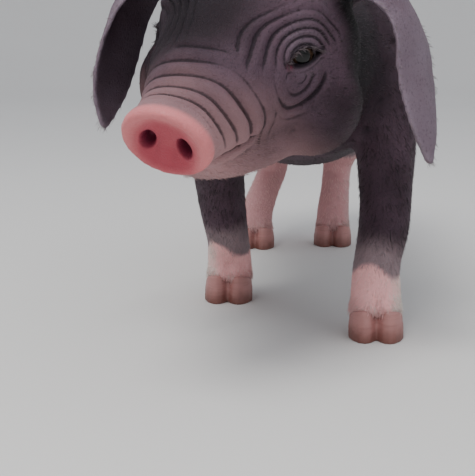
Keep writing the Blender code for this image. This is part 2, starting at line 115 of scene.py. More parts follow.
class PigletSkinSettings(bpy.types.PropertyGroup):
    """Sizes and colours of the skin."""

    voxel: length_setting("Fineness", "Size of the skin's faces before the face is made finer", 1.5 * MM)
    face_folds: share_setting("Face folds", "Depth of the face's folds against the usual")
    body_folds: share_setting("Body folds", "Depth of the folds on neck, body and legs against the usual")
    dark: colour_setting("Dark", "The darkest plain skin", (0.030, 0.017, 0.024))
    mauve: colour_setting("Mauve", "Skin of a middling tone", (0.107, 0.065, 0.089))
    # Painted skylight sheen: the tone reaches this grey on the ears, and in part on the brows' painted light.
    grey: colour_setting("Grey", "The lightest dark skin, on the ears", (0.225, 0.172, 0.215))
    # Painted shade: mixed in inside and behind the ears, on the forehead, in the creases and on the lid rims;
    # also the small random dark specks.
    shade: colour_setting("Shade", "Skin inside the ears, behind them and in creases", (0.010, 0.007, 0.010))
    beige: colour_setting("Beige", "Skin round the muzzle", (0.41, 0.232, 0.238))
    pink: colour_setting("Pink", "Skin of the feet", (0.92, 0.47, 0.47))
    white: colour_setting("White", "Outer sides of the feet", (0.78, 0.66, 0.60))
    band: colour_setting("Band", "Skin between the dark leg and the pink foot", (0.27, 0.195, 0.21))
    # The rim's lighter colour is a painted highlight, the disc's darker colour painted shade in the dish and
    # on the lower half.
    rim: colour_setting("Disc rim", "The snout disc's rolled rim", (0.66, 0.215, 0.225))
    disc: colour_setting("Disc", "The snout disc's dished face", (0.42, 0.070, 0.095))
    # The nostrils' own dark red, deepened by painted shade inside them; the eyes' inner corners are their own
    # red.
    nostril: colour_setting("Nostril", "The nostrils and the eyes' inner corners", (0.17, 0.018, 0.045))


class PigletCoatSettings(bpy.types.PropertyGroup):
    """Sizes and colours of the coat."""

    length: length_setting("Length", "Length of a lock on the flanks", FLANK_LENGTH * MM)
    width: length_setting("Width", "Width of a lock on the flanks", FLANK_WIDTH * MM)
    density: share_setting("Density", "Number of locks against the usual number")
    dark: colour_setting("Dark", "The darkest hair", (0.017, 0.011, 0.014))
    brown: colour_setting("Brown", "Lighter hair among the dark", (0.062, 0.042, 0.050))
    grey: colour_setting("Grey", "Hair on the ears and above the socks", (0.30, 0.24, 0.26))
    pink: colour_setting("Pink", "Hair on the fronts of the feet", (0.94, 0.56, 0.55))
    white: colour_setting("White", "Hair on the outer sides of the feet", (0.92, 0.86, 0.80))


class PigletEyeSettings(bpy.types.PropertyGroup):
    """Colours of the eyes."""

    iris: colour_setting("Iris", "The iris", (0.040, 0.022, 0.012))
    white: colour_setting("White", "The white of the eye", (0.12, 0.065, 0.055))


class PigletClawSettings(bpy.types.PropertyGroup):
    """Sizes and colours of the claws."""

    ridge: length_setting("Ridges", "Distance between the growth ridges", 2.1 * MM)
    horn: colour_setting("Horn", "Upper part of the claws", (0.46, 0.215, 0.20))
    tip: colour_setting("Tip", "Claws where they meet the ground", (0.17, 0.060, 0.046))


class PigletStageSettings(bpy.types.PropertyGroup):
    """The floor, the lamps and the camera."""

    radius: length_setting("Floor radius", "Radius of the floor's flat part", 2.2)
    floor: colour_setting("Floor", "Colour of floor and backdrop", (0.76, 0.75, 0.73))
    key: power_setting("Key", "Power of the lamp above the snout", 12.0)
    fill: power_setting("Fill", "Power of the lamp at the side", 1.5)
    sky: share_setting("Sky", "Strength of the even light from all round", 0.85)
    lens: bpy.props.FloatProperty(
        name="Lens", description="The camera's focal length", default=75.5, min=1.0, subtype="DISTANCE_CAMERA"
    )


LEGS = ("fore_left", "fore_right", "hind_left", "hind_right")
EARS = ("ear_left", "ear_right")
LIMB_NODES = tuple(f"{leg}_{half}" for leg in LEGS for half in ("upper", "lower"))
FLESH = ("head", "lower_jaw", "snout_disc", "neck", "trunk", "tail", *EARS, *LIMB_NODES)

# The head's own frame: its origin is midway between the eyes, facing -Y, with +X to its left.
HEAD_TURN = (-19.0, 11.5, 8.0)
EYE_PLACE, EYE_TURN, LID_TILT = (27.5, 0.5, 0.5), 46.0, 10.0
DISC_PLACE, DISC_TILT, DISC_TWIST, DISC_DEPTH = (0.0, -56.0, -22.0), 20.0, 6.0, 8.0
DISC_HALF_WIDTH, DISC_HALF_HEIGHT = 19.5, 15.5


def turned(degrees, axis):
    """A turn about an axis of the frame it is used in."""
    return Matrix.Rotation(math.radians(degrees), 4, axis)


def node_middle(*names):
    """The middle of the boxes of some CAD nodes, in millimetres."""
    corners = [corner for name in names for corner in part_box(name)]
    return sum(corners, Vector()) / len(corners) / MM


def head_frame():
    """The head's own frame in millimetres, set so that its eyes fall on the CAD's."""
    yaw, pitch, roll = HEAD_TURN
    turn = turned(yaw, "Z") @ turned(pitch, "X") @ turned(roll, "Y")
    between_eyes = Vector((0.0, *EYE_PLACE[1:]))
    return Matrix.Translation(node_middle("eye_left", "eye_right") - turn @ between_eyes) @ turn


HEAD = head_frame()


def eye_frame(side):
    """The middle of an eye in millimetres, with -Y the way it looks and X along the lids."""
    place = (EYE_PLACE[0] * side, *EYE_PLACE[1:])
    return HEAD @ Matrix.Translation(place) @ turned(side * EYE_TURN, "Z") @ turned(-side * LID_TILT, "Y")


def disc_frame():
    """The middle of the snout disc's front, with -Y the way it faces."""
    back = HEAD @ Matrix.Translation(DISC_PLACE) @ turned(DISC_TILT, "X") @ turned(DISC_TWIST, "Y")
    return back @ Matrix.Translation((0.0, -DISC_DEPTH, 0.0))


# ---- Surfaces as arrays. ----


def seen_from(matrix, co):
    """Points in metres as millimetres in a frame's own axes."""
    inverse = np.array(matrix.inverted())
    return (co / MM) @ inverse[:3, :3].T + inverse[:3, 3]


def axis(matrix, number):
    """A frame's X, Y or Z axis, by its number from 0 to 2."""
    return np.array(matrix.to_3x3())[:, number]


def eye_view(co, side):
    """Points as an eye has them, in millimetres: out to the side, up, and ahead."""
    x, y, z = seen_from(eye_frame(side), co).T
    return side * x, z, -y


def smoothstep(value, low, high):
    """0 below low, 1 above high, and smooth between them."""
    t = np.clip((value - low) / (high - low), 0.0, 1.0)
    return t * t * (3.0 - 2.0 * t)


def bump_at(value, middle, width):
    """1 at the middle, falling smoothly towards 0 on both sides."""
    return np.exp(-(((value - middle) / width) ** 2))


WOBBLE_WAVES, WOBBLE_SPREAD = 7, 3.2


def wobble(co, size, seed):
    """A smooth random value from about -1 to 1 at each point, with features about size mm wide."""
    rng = np.random.default_rng(seed)
    total = np.zeros(len(co))
    for _ in range(WOBBLE_WAVES):
        way = rng.normal(size=3)
        way *= 2.0 * math.pi / (size * rng.uniform(1.6, 2.8)) / np.linalg.norm(way)
        total += np.sin((co / MM) @ way + rng.uniform(0.0, 2.0 * math.pi))
    return total / WOBBLE_SPREAD


def rolls(value, creases, sharp=0.6):
    """Rounded rolls between creases at the given values: 1 on a roll and 0 in a crease."""
    phase = np.interp(value, creases, np.arange(len(creases)))
    inside = (value > creases[0]) & (value < creases[-1])
    return np.where(inside, np.abs(np.sin(np.pi * phase)) ** sharp, 0.0)


class Skin:
    """A mesh with its points, edges and normals as arrays."""

    def __init__(self, mesh):
        self.mesh = mesh
        self.read()

    def read(self):
        """Takes points, edges and the number of each point's neighbours from the mesh."""
        mesh = self.mesh
        self.co = np.zeros((len(mesh.vertices), 3))
        mesh.vertices.foreach_get("co", self.co.ravel())
        self.edges = np.zeros((len(mesh.edges), 2), int)
        mesh.edges.foreach_get("vertices", self.edges.ravel())
        self.count = np.maximum(np.bincount(self.edges.ravel(), minlength=len(self.co)), 1)
        self.read_normals()

    def read_normals(self):
        """Takes each point's normal from the mesh."""
        self.normal = np.zeros((len(self.co), 3))
        self.mesh.vertex_normals.foreach_get("vector", self.normal.ravel())

    def write(self):
        """Gives the mesh the points as they are now."""
        self.mesh.vertices.foreach_set("co", self.co.ravel())
        self.mesh.update()
        self.read_normals()

    def around(self, values):
        """The mean of each point's neighbours, for one value or several a point."""
        flat = values.reshape(len(self.co), -1)
        a, b = self.edges.T
        size = len(self.co)
        sums = [np.bincount(a, col[b], size) + np.bincount(b, col[a], size) for col in flat.T]
        return (np.stack(sums, 1) / self.count[:, None]).reshape(values.shape)

    def softened(self, values, rounds, mask=1.0):
        """Values averaged with their neighbours round after round, where the mask says."""
        keep = 0.5 * np.broadcast_to(mask, len(self.co)).reshape(-1, *[1] * (values.ndim - 1))
        for _ in range(rounds):
            values = values + keep * (self.around(values) - values)
        return values

    def relax(self, rounds, mask=1.0):
        """Smooths the surface, then gives back most of what that shrank."""
        smooth = self.softened(self.co, rounds, mask)
        self.co = smooth + self.softened(self.co - smooth, rounds, mask)
        self.write()

    def push(self, amount):
        """Moves each point along its normal by an amount in millimetres."""
        self.co += self.normal * (amount * MM)[:, None]
        self.write()

    def hollowness(self):
        """How concave the surface is at each point, about -1 to 1, whatever the mesh's fineness."""
        a, b = self.edges.T
        length = ((self.co[a] - self.co[b]) ** 2).sum(1)
        square = (np.bincount(a, length, len(self.co)) + np.bincount(b, length, len(self.co))) / self.count
        bend = ((self.around(self.co) - self.co) * self.normal).sum(1) / square
        return bend * MM

    def store(self, name, values):
        """Keeps a value for each point as an attribute, which materials and coat read."""
        layer = self.mesh.attributes.new(name, "FLOAT", "POINT")
        layer.data.foreach_set("value", np.ascontiguousarray(values, np.float32))

    def stored(self, name):
        """The values that are kept under a name."""
        values = np.zeros(len(self.co), np.float32)
        self.mesh.attributes[name].data.foreach_get("value", values)
        return values


def linked(name, data):
    """An object in the scene's own collection."""
    obj = bpy.data.objects.new(name, data)
    bpy.context.scene.collection.objects.link(obj)
    return obj


def evaluated_copy(obj):
    """A mesh of an object as its modifiers leave it. The object itself is removed."""
    bpy.context.view_layer.update()
    graph = bpy.context.evaluated_depsgraph_get()
    made = bpy.data.meshes.new_from_object(obj.evaluated_get(graph))
    bpy.data.objects.remove(obj)
    return made


def merged_nodes(names):
    """Copies of CAD nodes in one mesh, with their loose triangles joined."""
    bm = bmesh.new()
    for name in names:
        bm.from_mesh(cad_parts[name].data)
    bmesh.ops.remove_doubles(bm, verts=bm.verts, dist=SAME_PLACE)
    mesh = bpy.data.meshes.new("nodes")
    bm.to_mesh(mesh)
    bm.free()
    return mesh


def grown(names, growth, voxel):
    """One closed mesh of even quads round the named nodes, larger by a growth in metres."""
    obj = linked("grown", merged_nodes(names))
    swell = obj.modifiers.new("swell", "DISPLACE")
    swell.mid_level = 0.0
    swell.strength = growth
    remesh = obj.modifiers.new("even", "REMESH")
    remesh.mode = "VOXEL"
    remesh.voxel_size = voxel
    return evaluated_copy(obj)


def new_piece(name, mesh, finish, nodes=()):
    """An object with a finish that rides on the root body and stands for the given nodes."""
    obj = linked(name, mesh)
    mesh.shade_smooth()
    mesh.materials.append(finish)
    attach(obj, "root")
    if nodes:
        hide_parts(*nodes)


# ---- Skin. ----

# The solids are grown until they overlap at their seams, and the skin sinks by that and the coat.
SEAM_GROWTH, COAT_DEPTH = 0.4, 0.5
# How strongly each part is smoothed: ears, tail and disc are thin and keep their shape.
SMOOTHING_ROUNDS = 70
SMOOTHING = {
    EARS: 0.16,
    ("tail", "snout_disc"): 0.10,
    ("trunk", "neck"): 1.0,
    ("head", "lower_jaw"): 0.5,
    LIMB_NODES: 0.4,
}
# The share of the body's faces that is kept, and the places where faces are split again.
BODY_SHARE = 0.25
FACE_BACK, FACE_HALF_WIDTH, FACE_LOW = 17.0, 50.0, -55.0
LID_REACH, NOSTRIL_REACH, VENT_REACH = 11.5, 5.2, 11.0
VENT_DROP, VENT_SQUASH = 17.0, (1.0, 0.35, 0.8)


def node_labels(co):
    """For each point the index in FLESH of the nearest node."""
    verts, faces, owner = [], [], []
    for index, name in enumerate(FLESH):
        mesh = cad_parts[name].data
        start = len(verts)
        verts += [vert.co for vert in mesh.vertices]
        for face in mesh.polygons:
            faces.append([start + i for i in face.vertices])
            owner.append(index)
    tree = BVHTree.FromPolygons(verts, faces)
    return np.array([owner[tree.find_nearest(point)[2]] for point in co])


def labelled(labels, *names):
    """Which points belong to the named nodes."""
    return np.isin(labels, [FLESH.index(name) for name in names])


def by_part(labels, table):
    """Each point's row of a table whose keys are tuples of node names."""
    rows = np.zeros((len(labels), *np.shape(next(iter(table.values())))))
    for names, row in table.items():
        rows[labelled(labels, *names)] = row
    return rows


def base_skin(voxel):
    """All the flesh in one smooth surface: fine round the eyes and snout, coarser on the body."""
    skin = Skin(grown(FLESH + ("eye_left", "eye_right"), SEAM_GROWTH * MM, voxel))
    labels = node_labels(skin.co)
    skin.relax(SMOOTHING_ROUNDS, skin.softened(by_part(labels, SMOOTHING), 6))
    skin.push(np.full(len(skin.co), -SEAM_GROWTH - COAT_DEPTH))
    mesh = thinned(skin.mesh, labelled(labels, "trunk", "neck", "tail", *LIMB_NODES))
    for zone in (face_zone, lid_zone, vent_zone):
        refine(mesh, zone)
    skin = Skin(mesh)
    skin.relax(5)
    return skin


def thinned(mesh, where):
    """The mesh with fewer faces on the marked points."""
    obj = linked("thinning", mesh)
    group = obj.vertex_groups.new(name="where")
    group.add(np.flatnonzero(where).tolist(), 1.0, "REPLACE")
    fewer = obj.modifiers.new("fewer", "DECIMATE")
    fewer.vertex_group = "where"
    fewer.vertex_group_factor = 10.0
    fewer.ratio = 1.0 - (1.0 - BODY_SHARE) * float(where.mean())
    return evaluated_copy(obj)


def face_zone(co):
    """The face, where folds are close together."""
    x, y, z = seen_from(HEAD, co).T
    return (y < FACE_BACK) & (np.abs(x) < FACE_HALF_WIDTH) & (z > FACE_LOW)


def lid_zone(co):
    """Close round the eyes and the nostrils."""
    x, y, z = seen_from(disc_frame(), co).T
    near = np.full(len(co), False)
    for side in (1, -1):
        u, v, w = eye_view(co, side)
        near |= (np.hypot(u / 1.2, v) < LID_REACH) & (w > 0.0) & (w < 20.0)
        away = np.hypot(x - side * NOSTRIL_PLACE[0], 0.8 * (z - NOSTRIL_PLACE[1]))
        near |= (y < DISC_EDGE) & (away < NOSTRIL_REACH)
    return near


def vent_distance(co):
    """How far each point is from the vent under the tail's root, in millimetres."""
    high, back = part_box("tail")[1].z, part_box("trunk")[1].y
    vent = np.array((node_middle("tail").x, back / MM, high / MM - VENT_DROP))
    return np.linalg.norm((co / MM - vent) * VENT_SQUASH, axis=1)


def vent_zone(co):
    """Close round the vent."""
    return vent_distance(co) < VENT_REACH


def refine(mesh, zone):
    """Splits the faces that lie in a zone in four."""
    co = np.zeros((len(mesh.vertices), 3))
    mesh.vertices.foreach_get("co", co.ravel())
    near = zone(co)
    bm = bmesh.new()
    bm.from_mesh(mesh)
    edges = [edge for edge in bm.edges if near[edge.verts[0].index] and near[edge.verts[1].index]]
    bmesh.ops.subdivide_edges(bm, edges=edges, cuts=1, use_grid_fill=True)
    bmesh.ops.triangulate(bm, faces=[face for face in bm.faces if len(face.verts) > 4])
    bm.to_mesh(mesh)
    bm.free()


# ---- Sculpting, in millimetres. A fold is given as a crease's place and its depth. ----

EYE_RADIUS, EYE_SINK = 8.0, 1.3
LID_HALF_LENGTH, UPPER_LID, LOWER_LID = 8.2, 3.4, 2.3
# How far the lids spread, how deep their opening goes, and how thick the upper and the lower swell.
LID_AREA, LID_DEPTH, LID_SWELL = 14.0, 2.4, (0.75, 0.45)
# How far the skin's floor between the lids lies behind the ball's surface.
BEHIND_BALL = 0.7
# Brow and pouch folds by their distance from the eye's and the pouch's middle, which are ovals.
UPPER_FOLDS = ((5.4, 0.8), (9.2, 1.1), (13.2, 1.6), (17.4, 1.8), (21.8, 1.6), (26.2, 1.1), (31.0, 0.0))
POUCH_FOLDS = ((2.5, 0.2), (6.8, 1.7), (12.7, 2.8), (19.0, 0.0))
POUCH_PLACE = (-3.2, -5.6)
BROW_STRETCH, POUCH_STRETCH = 1.35, 1.08
# Rings round the muzzle by their place along the head, and the muzzle's middle as (along, height).
SNOUT_FOLDS = (
    (-60.0, 0.0), (-55.5, 1.8), (-49.0, 2.3), (-42.0, 3.0), (-35.5, 1.9), (-30.0, 1.3), (-25.0, 0.0)
)
MUZZLE_AXIS = ((-62.0, -22.0), (-46.0, -21.0), (-31.0, -18.0), (-15.0, -14.0), (0.0, -10.0))
MOUTH_LINE = ((-75.0, -35.0), (-50.0, -33.0), (-36.0, -30.5), (-26.0, -27.0))
MOUTH_DEPTH, LIP_SWELL = 2.2, 0.7
# The disc's sizes. Reach is 1 at its rim, and a point past DISC_EDGE is behind it.
DISC_FRONT, DISC_EDGE, DISC_REACH = 0.45, 6.0, 1.3
DISH_DEPTH, RIM_SWELL, SEPTUM_SWELL = 2.3, 0.5, 0.9
NOSTRIL_PLACE, NOSTRIL_SIZE, NOSTRIL_DEPTH, NOSTRIL_TURN = (7.6, -0.6), (3.1, 4.4), 5.0, 0.35
# Loose skin on the body: how deep its creases are, and how far they take to fade in and out.
NAPE_DEPTH, FLANK_DEPTH, LEG_DEPTH, RUMP_DEPTH = 2.7, 2.4, 1.2, 1.0
FADE_IN, FADE_OUT = 8.0, 14.0
VENT_PLEATS = 8.0
# The cleft between the toes, and the swelling above the claws.
CLEFT_DEPTH, CORONET_SWELL = 2.6, 0.6
# Where between crease and crest a roll crosses the plain surface.
ROLL_LEVEL = 0.7


def folds(value, creases, sharp=1.1):
    """Rolls between creases that are each given as a position and a depth."""
    places, depths = zip(*creases)
    return np.interp(value, places, depths, 0.0, 0.0) * (rolls(value, places, sharp) - ROLL_LEVEL)


def lid_edge(u, v):
    """How far outside the opening between the lids a point is, seen from in front of the eye."""
    along = np.clip(np.abs(u) / LID_HALF_LENGTH, 0.0, 1.0)
    upper = v - UPPER_LID * (1.0 - along**2.2)
    lower = -v - LOWER_LID * (1.0 - along**2)
    beyond = 0.9 * (np.abs(u) - LID_HALF_LENGTH)
    return np.maximum(np.maximum(upper, lower), beyond)


def eye_folds(skin, side):
    """The folds of brow and pouch, and how strongly they hold each point."""
    u, v, w = eye_view(skin.co, side)
    ahead = smoothstep(w, -16.0, -6.0)
    reach = np.sqrt((u / BROW_STRETCH) ** 2 + v**2 + (w - EYE_RADIUS) ** 2)
    away = smoothstep(reach, 4.0, 16.0)
    reach += away * (3.0 * wobble(skin.co, 30.0, 15 + side) + 1.3 * wobble(skin.co, 11.0, 5 + side))
    rise = v / np.maximum(np.hypot(u, v), TINY)
    inner = smoothstep(-u, -3.0, 3.0)
    above = smoothstep(rise, -0.55 * inner - 0.05, -0.15 * inner + 0.3)
    pouch_u, pouch_v = u - POUCH_PLACE[0], v - POUCH_PLACE[1]
    pouch = np.hypot(pouch_u / POUCH_STRETCH, pouch_v) + away * 0.9 * wobble(skin.co, 12.0, 35 + side)
    fall = -pouch_v / np.maximum(np.hypot(pouch_u, pouch_v), TINY)
    below = smoothstep(fall + 0.6 * smoothstep(-pouch_u, -3.0, 4.0), 0.1, 0.45)
    patchy = np.clip(0.7 + 0.6 * wobble(skin.co, 18.0, 25 + side), 0.1, 1.4)
    brow_folds = above * (1.0 - below) * folds(reach, UPPER_FOLDS)
    pouch_folds = below * folds(pouch, POUCH_FOLDS) * (1.0 - 0.04 * u)
    hold = ahead * np.maximum(above, below) * (1.0 - smoothstep(reach, 19.0, 27.0))
    return ahead * patchy * (brow_folds + pouch_folds), hold


def sculpt_lids(skin, side):
    """The opening between the lids. Returns how far outside it each point lies."""
    u, v, w = eye_view(skin.co, side)
    edge = lid_edge(u, v)
    ball = np.sqrt(np.maximum(EYE_RADIUS**2 - u**2 - v**2, 0.0)) - EYE_SINK
    floor = np.maximum(ball - BEHIND_BALL, w - LID_DEPTH)
    lid = np.where(v > 0.0, *LID_SWELL) * bump_at(edge, 1.1, 1.1)
    target = floor + (w + lid - floor) * smoothstep(edge, -0.55, 0.65)
    near = (w > 0.0) & (np.hypot(u, v) < LID_AREA)
    skin.co -= np.where(near, (target - w) * MM, 0.0)[:, None] * axis(eye_frame(side), 1)
    skin.write()
    return np.where(near, edge, FAR)


def snout_folds(skin):
    """Rings round the muzzle, and how strongly they hold each point."""
    x, y, z = seen_from(HEAD, skin.co).T
    round_top = np.arctan2(x, z - np.interp(y, *zip(*MUZZLE_AXIS)))
    back = 8.0 * (1.0 - np.cos(round_top)) - 0.06 * x
    station = y - back + 2.0 * wobble(skin.co, 20.0, 21)
    facing = smoothstep(np.cos(round_top), -0.75, 0.1)
    patchy = np.clip(0.75 + 0.6 * wobble(skin.co, 16.0, 22), 0.1, 1.4)
    hold = facing * (1.0 - smoothstep(station, -38.0, -26.0))
    return facing * patchy * folds(station, SNOUT_FOLDS, 0.9), hold


def sculpt_face(skin, labels, strength):
    """All the face's folds, each family where it holds most, and the mouth."""
    families = [snout_folds(skin), eye_folds(skin, 1), eye_folds(skin, -1)]
    holds = np.stack([hold for _, hold in families]) ** 3 + TINY
    shares = holds / holds.sum(0)
    amount = strength * sum(share * fold for share, (fold, _) in zip(shares, families))
    _, y, z = seen_from(HEAD, skin.co).T
    mouth = np.interp(y, *zip(*MOUTH_LINE))
    cheek = smoothstep(-y, 24.0, 30.0) * ~labelled(labels, "snout_disc")
    amount -= MOUTH_DEPTH * cheek * bump_at(z, mouth, 1.3)
    amount += LIP_SWELL * cheek * (bump_at(z, mouth + 3.0, 1.9) + bump_at(z, mouth - 3.0, 1.9))
    skin.push(amount)


def nostril_distance(x, z):
    """How far from a nostril each point of the disc is, against the nostril's size."""
    hole = np.full(len(x), FAR)
    cos, sin = math.cos(NOSTRIL_TURN), math.sin(NOSTRIL_TURN)
    for side in (1, -1):
        beside, above = side * x - NOSTRIL_PLACE[0], z - NOSTRIL_PLACE[1]
        across, along = beside * cos + above * sin, above * cos - beside * sin
        hole = np.minimum(hole, np.hypot(across / NOSTRIL_SIZE[0], along / NOSTRIL_SIZE[1]))
    return hole


def flatten_disc(skin):
    """The disc's front, brought to one smooth face before it is carved."""
    x, y, z = seen_from(disc_frame(), skin.co).T
    reach = np.hypot(x / DISC_HALF_WIDTH, z / DISC_HALF_HEIGHT)
    flat = (1.0 - smoothstep(reach, 0.70, 0.80)) * (y < DISC_EDGE)
    skin.co += (flat * (DISC_FRONT - y) * MM)[:, None] * axis(disc_frame(), 1)
    skin.write()
    skin.relax(6, flat)
    return reach


def sculpt_disc(skin):
    """The dished disc with its rolled rim and nostrils. Returns the disc's marks, among them the painted
    shade of the dish and the lower half.
    """
    reach = flatten_disc(skin)
    x, y, z = seen_from(disc_frame(), skin.co).T
    hole = nostril_distance(x, z)
    front = smoothstep(-y, -4.0, -2.0) * (reach < DISC_REACH)
    dish = DISH_DEPTH * np.clip(1.0 - (reach / 0.80) ** 2, 0.0, 1.0)
    rim = RIM_SWELL * bump_at(reach, 0.9, 0.11)
    septum = SEPTUM_SWELL * bump_at(x, 0.0, 2.6) * bump_at(z, -3.0, 6.0)
    inward = dish - rim - septum + NOSTRIL_DEPTH * (1.0 - smoothstep(hole, 0.45, 1.12))
    skin.co += (front * inward * MM)[:, None] * axis(disc_frame(), 1)
    skin.write()
    bare = (1.0 - smoothstep(y, 3.0, 6.5)) * (reach < DISC_REACH)
    # Painted shade in the dish and on the lower half; the rim keeps a lighter painted highlight.
    dished = 0.75 * (1.0 - smoothstep(reach, 0.45, 0.92)) + 0.5 * smoothstep(-z, 0.0, 12.0)
    return {
        "bare": bare,
        "nostril": bare * (1.0 - smoothstep(hole, 0.7, 1.35)),
        "dished": bare * np.clip(dished, 0.0, 1.0),
    }


def vent_push(skin):
    """A dimple inside a low ring with pleats across it, in millimetres outwards."""
    away = vent_distance(skin.co)
    middle = skin.co[away.argmin()]
    pleats = np.cos(VENT_PLEATS * np.arctan2(skin.co[:, 2] - middle[2], skin.co[:, 0] - middle[0]))
    ring = 0.9 * bump_at(away, 4.0, 1.8) - 1.6 * bump_at(away, 0.0, 2.2)
    return ring - 0.35 * bump_at(away, 3.0, 3.0) * pleats


def sculpt_body(skin, labels, strength):
    """Loose skin on the neck, shoulders, flanks and rump, and creases across the legs."""
    x, y, z = (skin.co / MM).T
    drift = 5.0 * wobble(skin.co, 60.0, 31) + 2.0 * wobble(skin.co, 24.0, 32)
    patchy = 0.55 + 0.45 * wobble(skin.co, 45.0, 33)

    def creases(value, spacing, low, high):
        """Creases every spacing mm where the value is from low to high, fading out past them."""
        fade = smoothstep(value, low - FADE_IN, low) * (1.0 - smoothstep(value, high, high + FADE_OUT))
        return patchy * fade * (np.abs(np.sin(math.pi * (value + drift) / spacing)) ** 0.6 - ROLL_LEVEL)

    nape, trunk = node_middle("neck"), node_middle("trunk")
    loose = labelled(labels, "neck", "trunk", "head")
    amount = NAPE_DEPTH * loose * creases(y - nape.y + 0.3 * (z - nape.z), 10.5, -14.0, 30.0)
    for leg in LEGS:
        upper, lower = node_middle(leg + "_upper"), node_middle(leg + "_lower")
        side = 1.0 if leg.endswith("left") else -1.0
        above = smoothstep(side * (x - trunk.x), 5.0, 22.0) * labelled(labels, "trunk", leg + "_upper")
        if leg.startswith("fore"):
            away = np.hypot(y - upper.y - 6.0, z - upper.z + 30.0)
            amount += FLANK_DEPTH * above * creases(away, 11.0, 26.0, 62.0)
        else:
            away = np.hypot(y - upper.y + 30.0, 0.8 * (z - upper.z + 40.0))
            amount += FLANK_DEPTH * above * creases(away, 12.0, 30.0, 74.0)
        limb = labelled(labels, leg + "_upper", leg + "_lower")
        amount += LEG_DEPTH * limb * creases(z - lower.z + 0.35 * (y - lower.y), 6.5, -14.0, 44.0)
    on_trunk = labelled(labels, "trunk")
    away = np.linalg.norm(skin.co / MM - np.array(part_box("tail")[1] / MM), axis=1)
    amount += RUMP_DEPTH * on_trunk * creases(away, 10.0, 18.0, 52.0)
    skin.push(strength * skin.softened(amount, 2) + vent_push(skin) * on_trunk)


def sculpt_feet(skin, labels):
    """The cleft between the toes, in front and behind, and the swelling above the claws."""
    x, y, z = (skin.co / MM).T
    amount = np.zeros(len(x))
    for leg in LEGS:
        middle = node_middle(leg + "_claw_outer", leg + "_claw_inner")
        foot = labelled(labels, leg + "_lower")
        ends = smoothstep(np.abs(y - middle.y), 3.0, 9.0)
        low = 1.0 - smoothstep(z, 15.0, 27.0)
        amount -= CLEFT_DEPTH * foot * ends * low * bump_at(x, middle.x, 2.6)
        amount += CORONET_SWELL * foot * bump_at(z, 13.0, 4.0)
    skin.push(amount)


# ---- Materials. ----

# A Mix node has sockets for every type of data; these are the factor's and the colours'.
COLOUR_MIX_SOCKETS, COLOUR_MIX_RESULT = (0, 6, 7), 2


class Value:
    """A shader socket that grows Math nodes when it is used in an expression."""

    def __init__(self, finish, socket):
        self.finish, self.socket = finish, socket

    def maths(self, operation, *values):
        """A Math node's result."""
        return self.finish.node("ShaderNodeMath", {"operation": operation}, dict(enumerate(values)))

    def __add__(self, other):
        return self.maths("ADD", self, other)

    def __sub__(self, other):
        return self.maths("SUBTRACT", self, other)

    def __mul__(self, other):
        return self.maths("MULTIPLY", self, other)

    def __rsub__(self, other):
        return self.maths("SUBTRACT", other, self)

    __radd__, __rmul__ = __add__, __mul__

    def between(self, low, high):
        """0 below low and 1 above high, with a smooth step from one to the other."""
        sockets = {"Value": self, "From Min": low, "From Max": high}
        return self.finish.node("ShaderNodeMapRange", {"interpolation_type": "SMOOTHSTEP"}, sockets)


class Finish:
    """A material whose nodes are made by one method."""

    def __init__(self, name):
        self.material = bpy.data.materials.new(name)
        self.material.use_nodes = True
        self.nodes = self.material.node_tree.nodes
        self.nodes.clear()

    def node(self, kind, settings, sockets, output=0):
        made = self.nodes.new(kind)
        for key, value in settings.items():
            setattr(made, key, value)
        for key, value in sockets.items():
            if isinstance(value, Value):
                self.material.node_tree.links.new(value.socket, made.inputs[key])
            else:
                made.inputs[key].default_value = value
        return Value(self, made.outputs[output]) if len(made.outputs) else None

    def stored(self, name):
        """The value of a mark that the mesh holds."""
        return self.node("ShaderNodeAttribute", {"attribute_name": name}, {}, "Fac")

    def noise(self, scale, detail=3.0, stretch=(1.0, 1.0, 1.0), roughness=0.5):
        """A random value from 0 to 1, with features 1 / scale metres wide where it isn't stretched."""
        place = self.node("ShaderNodeTexCoord", {}, {}, "Object")
        place = self.node("ShaderNodeVectorMath", {"operation": "MULTIPLY"}, {0: place, 1: stretch})
        sockets = {"Vector": place, "Scale": scale, "Detail": detail, "Roughness": roughness}
        return self.node("ShaderNodeTexNoise", {}, sockets)

    def cells(self, scale, feature="DISTANCE_TO_EDGE"):
        """How far each point is from the edge of its cell, with cells 1 / scale metres wide."""
        place = self.node("ShaderNodeTexCoord", {}, {}, "Object")
        return self.node("ShaderNodeTexVoronoi", {"feature": feature}, {"Vector": place, "Scale": scale})

    def mix(self, factor, first, second):
        """From the first colour to the second as the factor goes from 0 to 1."""
        mixed = self.nodes.new("ShaderNodeMix")
        mixed.data_type = "RGBA"
        sockets = [mixed.inputs[number] for number in COLOUR_MIX_SOCKETS]
        for socket, value in zip(sockets, (factor, first, second)):
            if isinstance(value, Value):
                self.material.node_tree.links.new(value.socket, socket)
            else:
                socket.default_value = (*value, 1.0) if socket.type == "RGBA" else value
        return Value(self, mixed.outputs[COLOUR_MIX_RESULT])

    def finished(self, bump=None, bump_depth=MM, **sockets):
        """The Principled shader, with a height in bump_depth metres, and the output."""
        named = {key.replace("_", " ").title().replace("Ior", "IOR"): value for key, value in sockets.items()}
        if bump is not None:
            sockets = {"Height": bump, "Distance": bump_depth}
            named["Normal"] = self.node("ShaderNodeBump", {}, sockets, "Normal")
        for key, value in named.items():
            if isinstance(value, tuple) and len(value) == 3 and "Radius" not in key:
                named[key] = (*value, 1.0)
        shader = self.node("ShaderNodeBsdfPrincipled", {}, named)
        self.node("ShaderNodeOutputMaterial", {}, {"Surface": shader})
        return self.material


# How much greyer the pink of the hind legs is than that of the fore feet, on skin and hair.
HIND_SKIN, HIND_HAIR = 0.35, 0.14
# Angles from the way the eye looks, in radians, over which one colour turns into the next.
PUPIL_RIM, IRIS_RIM, WHITE_RIM = (0.36, 0.42), (0.64, 0.72), (0.82, 0.95)
PUPIL = (0.002, 0.002, 0.002)


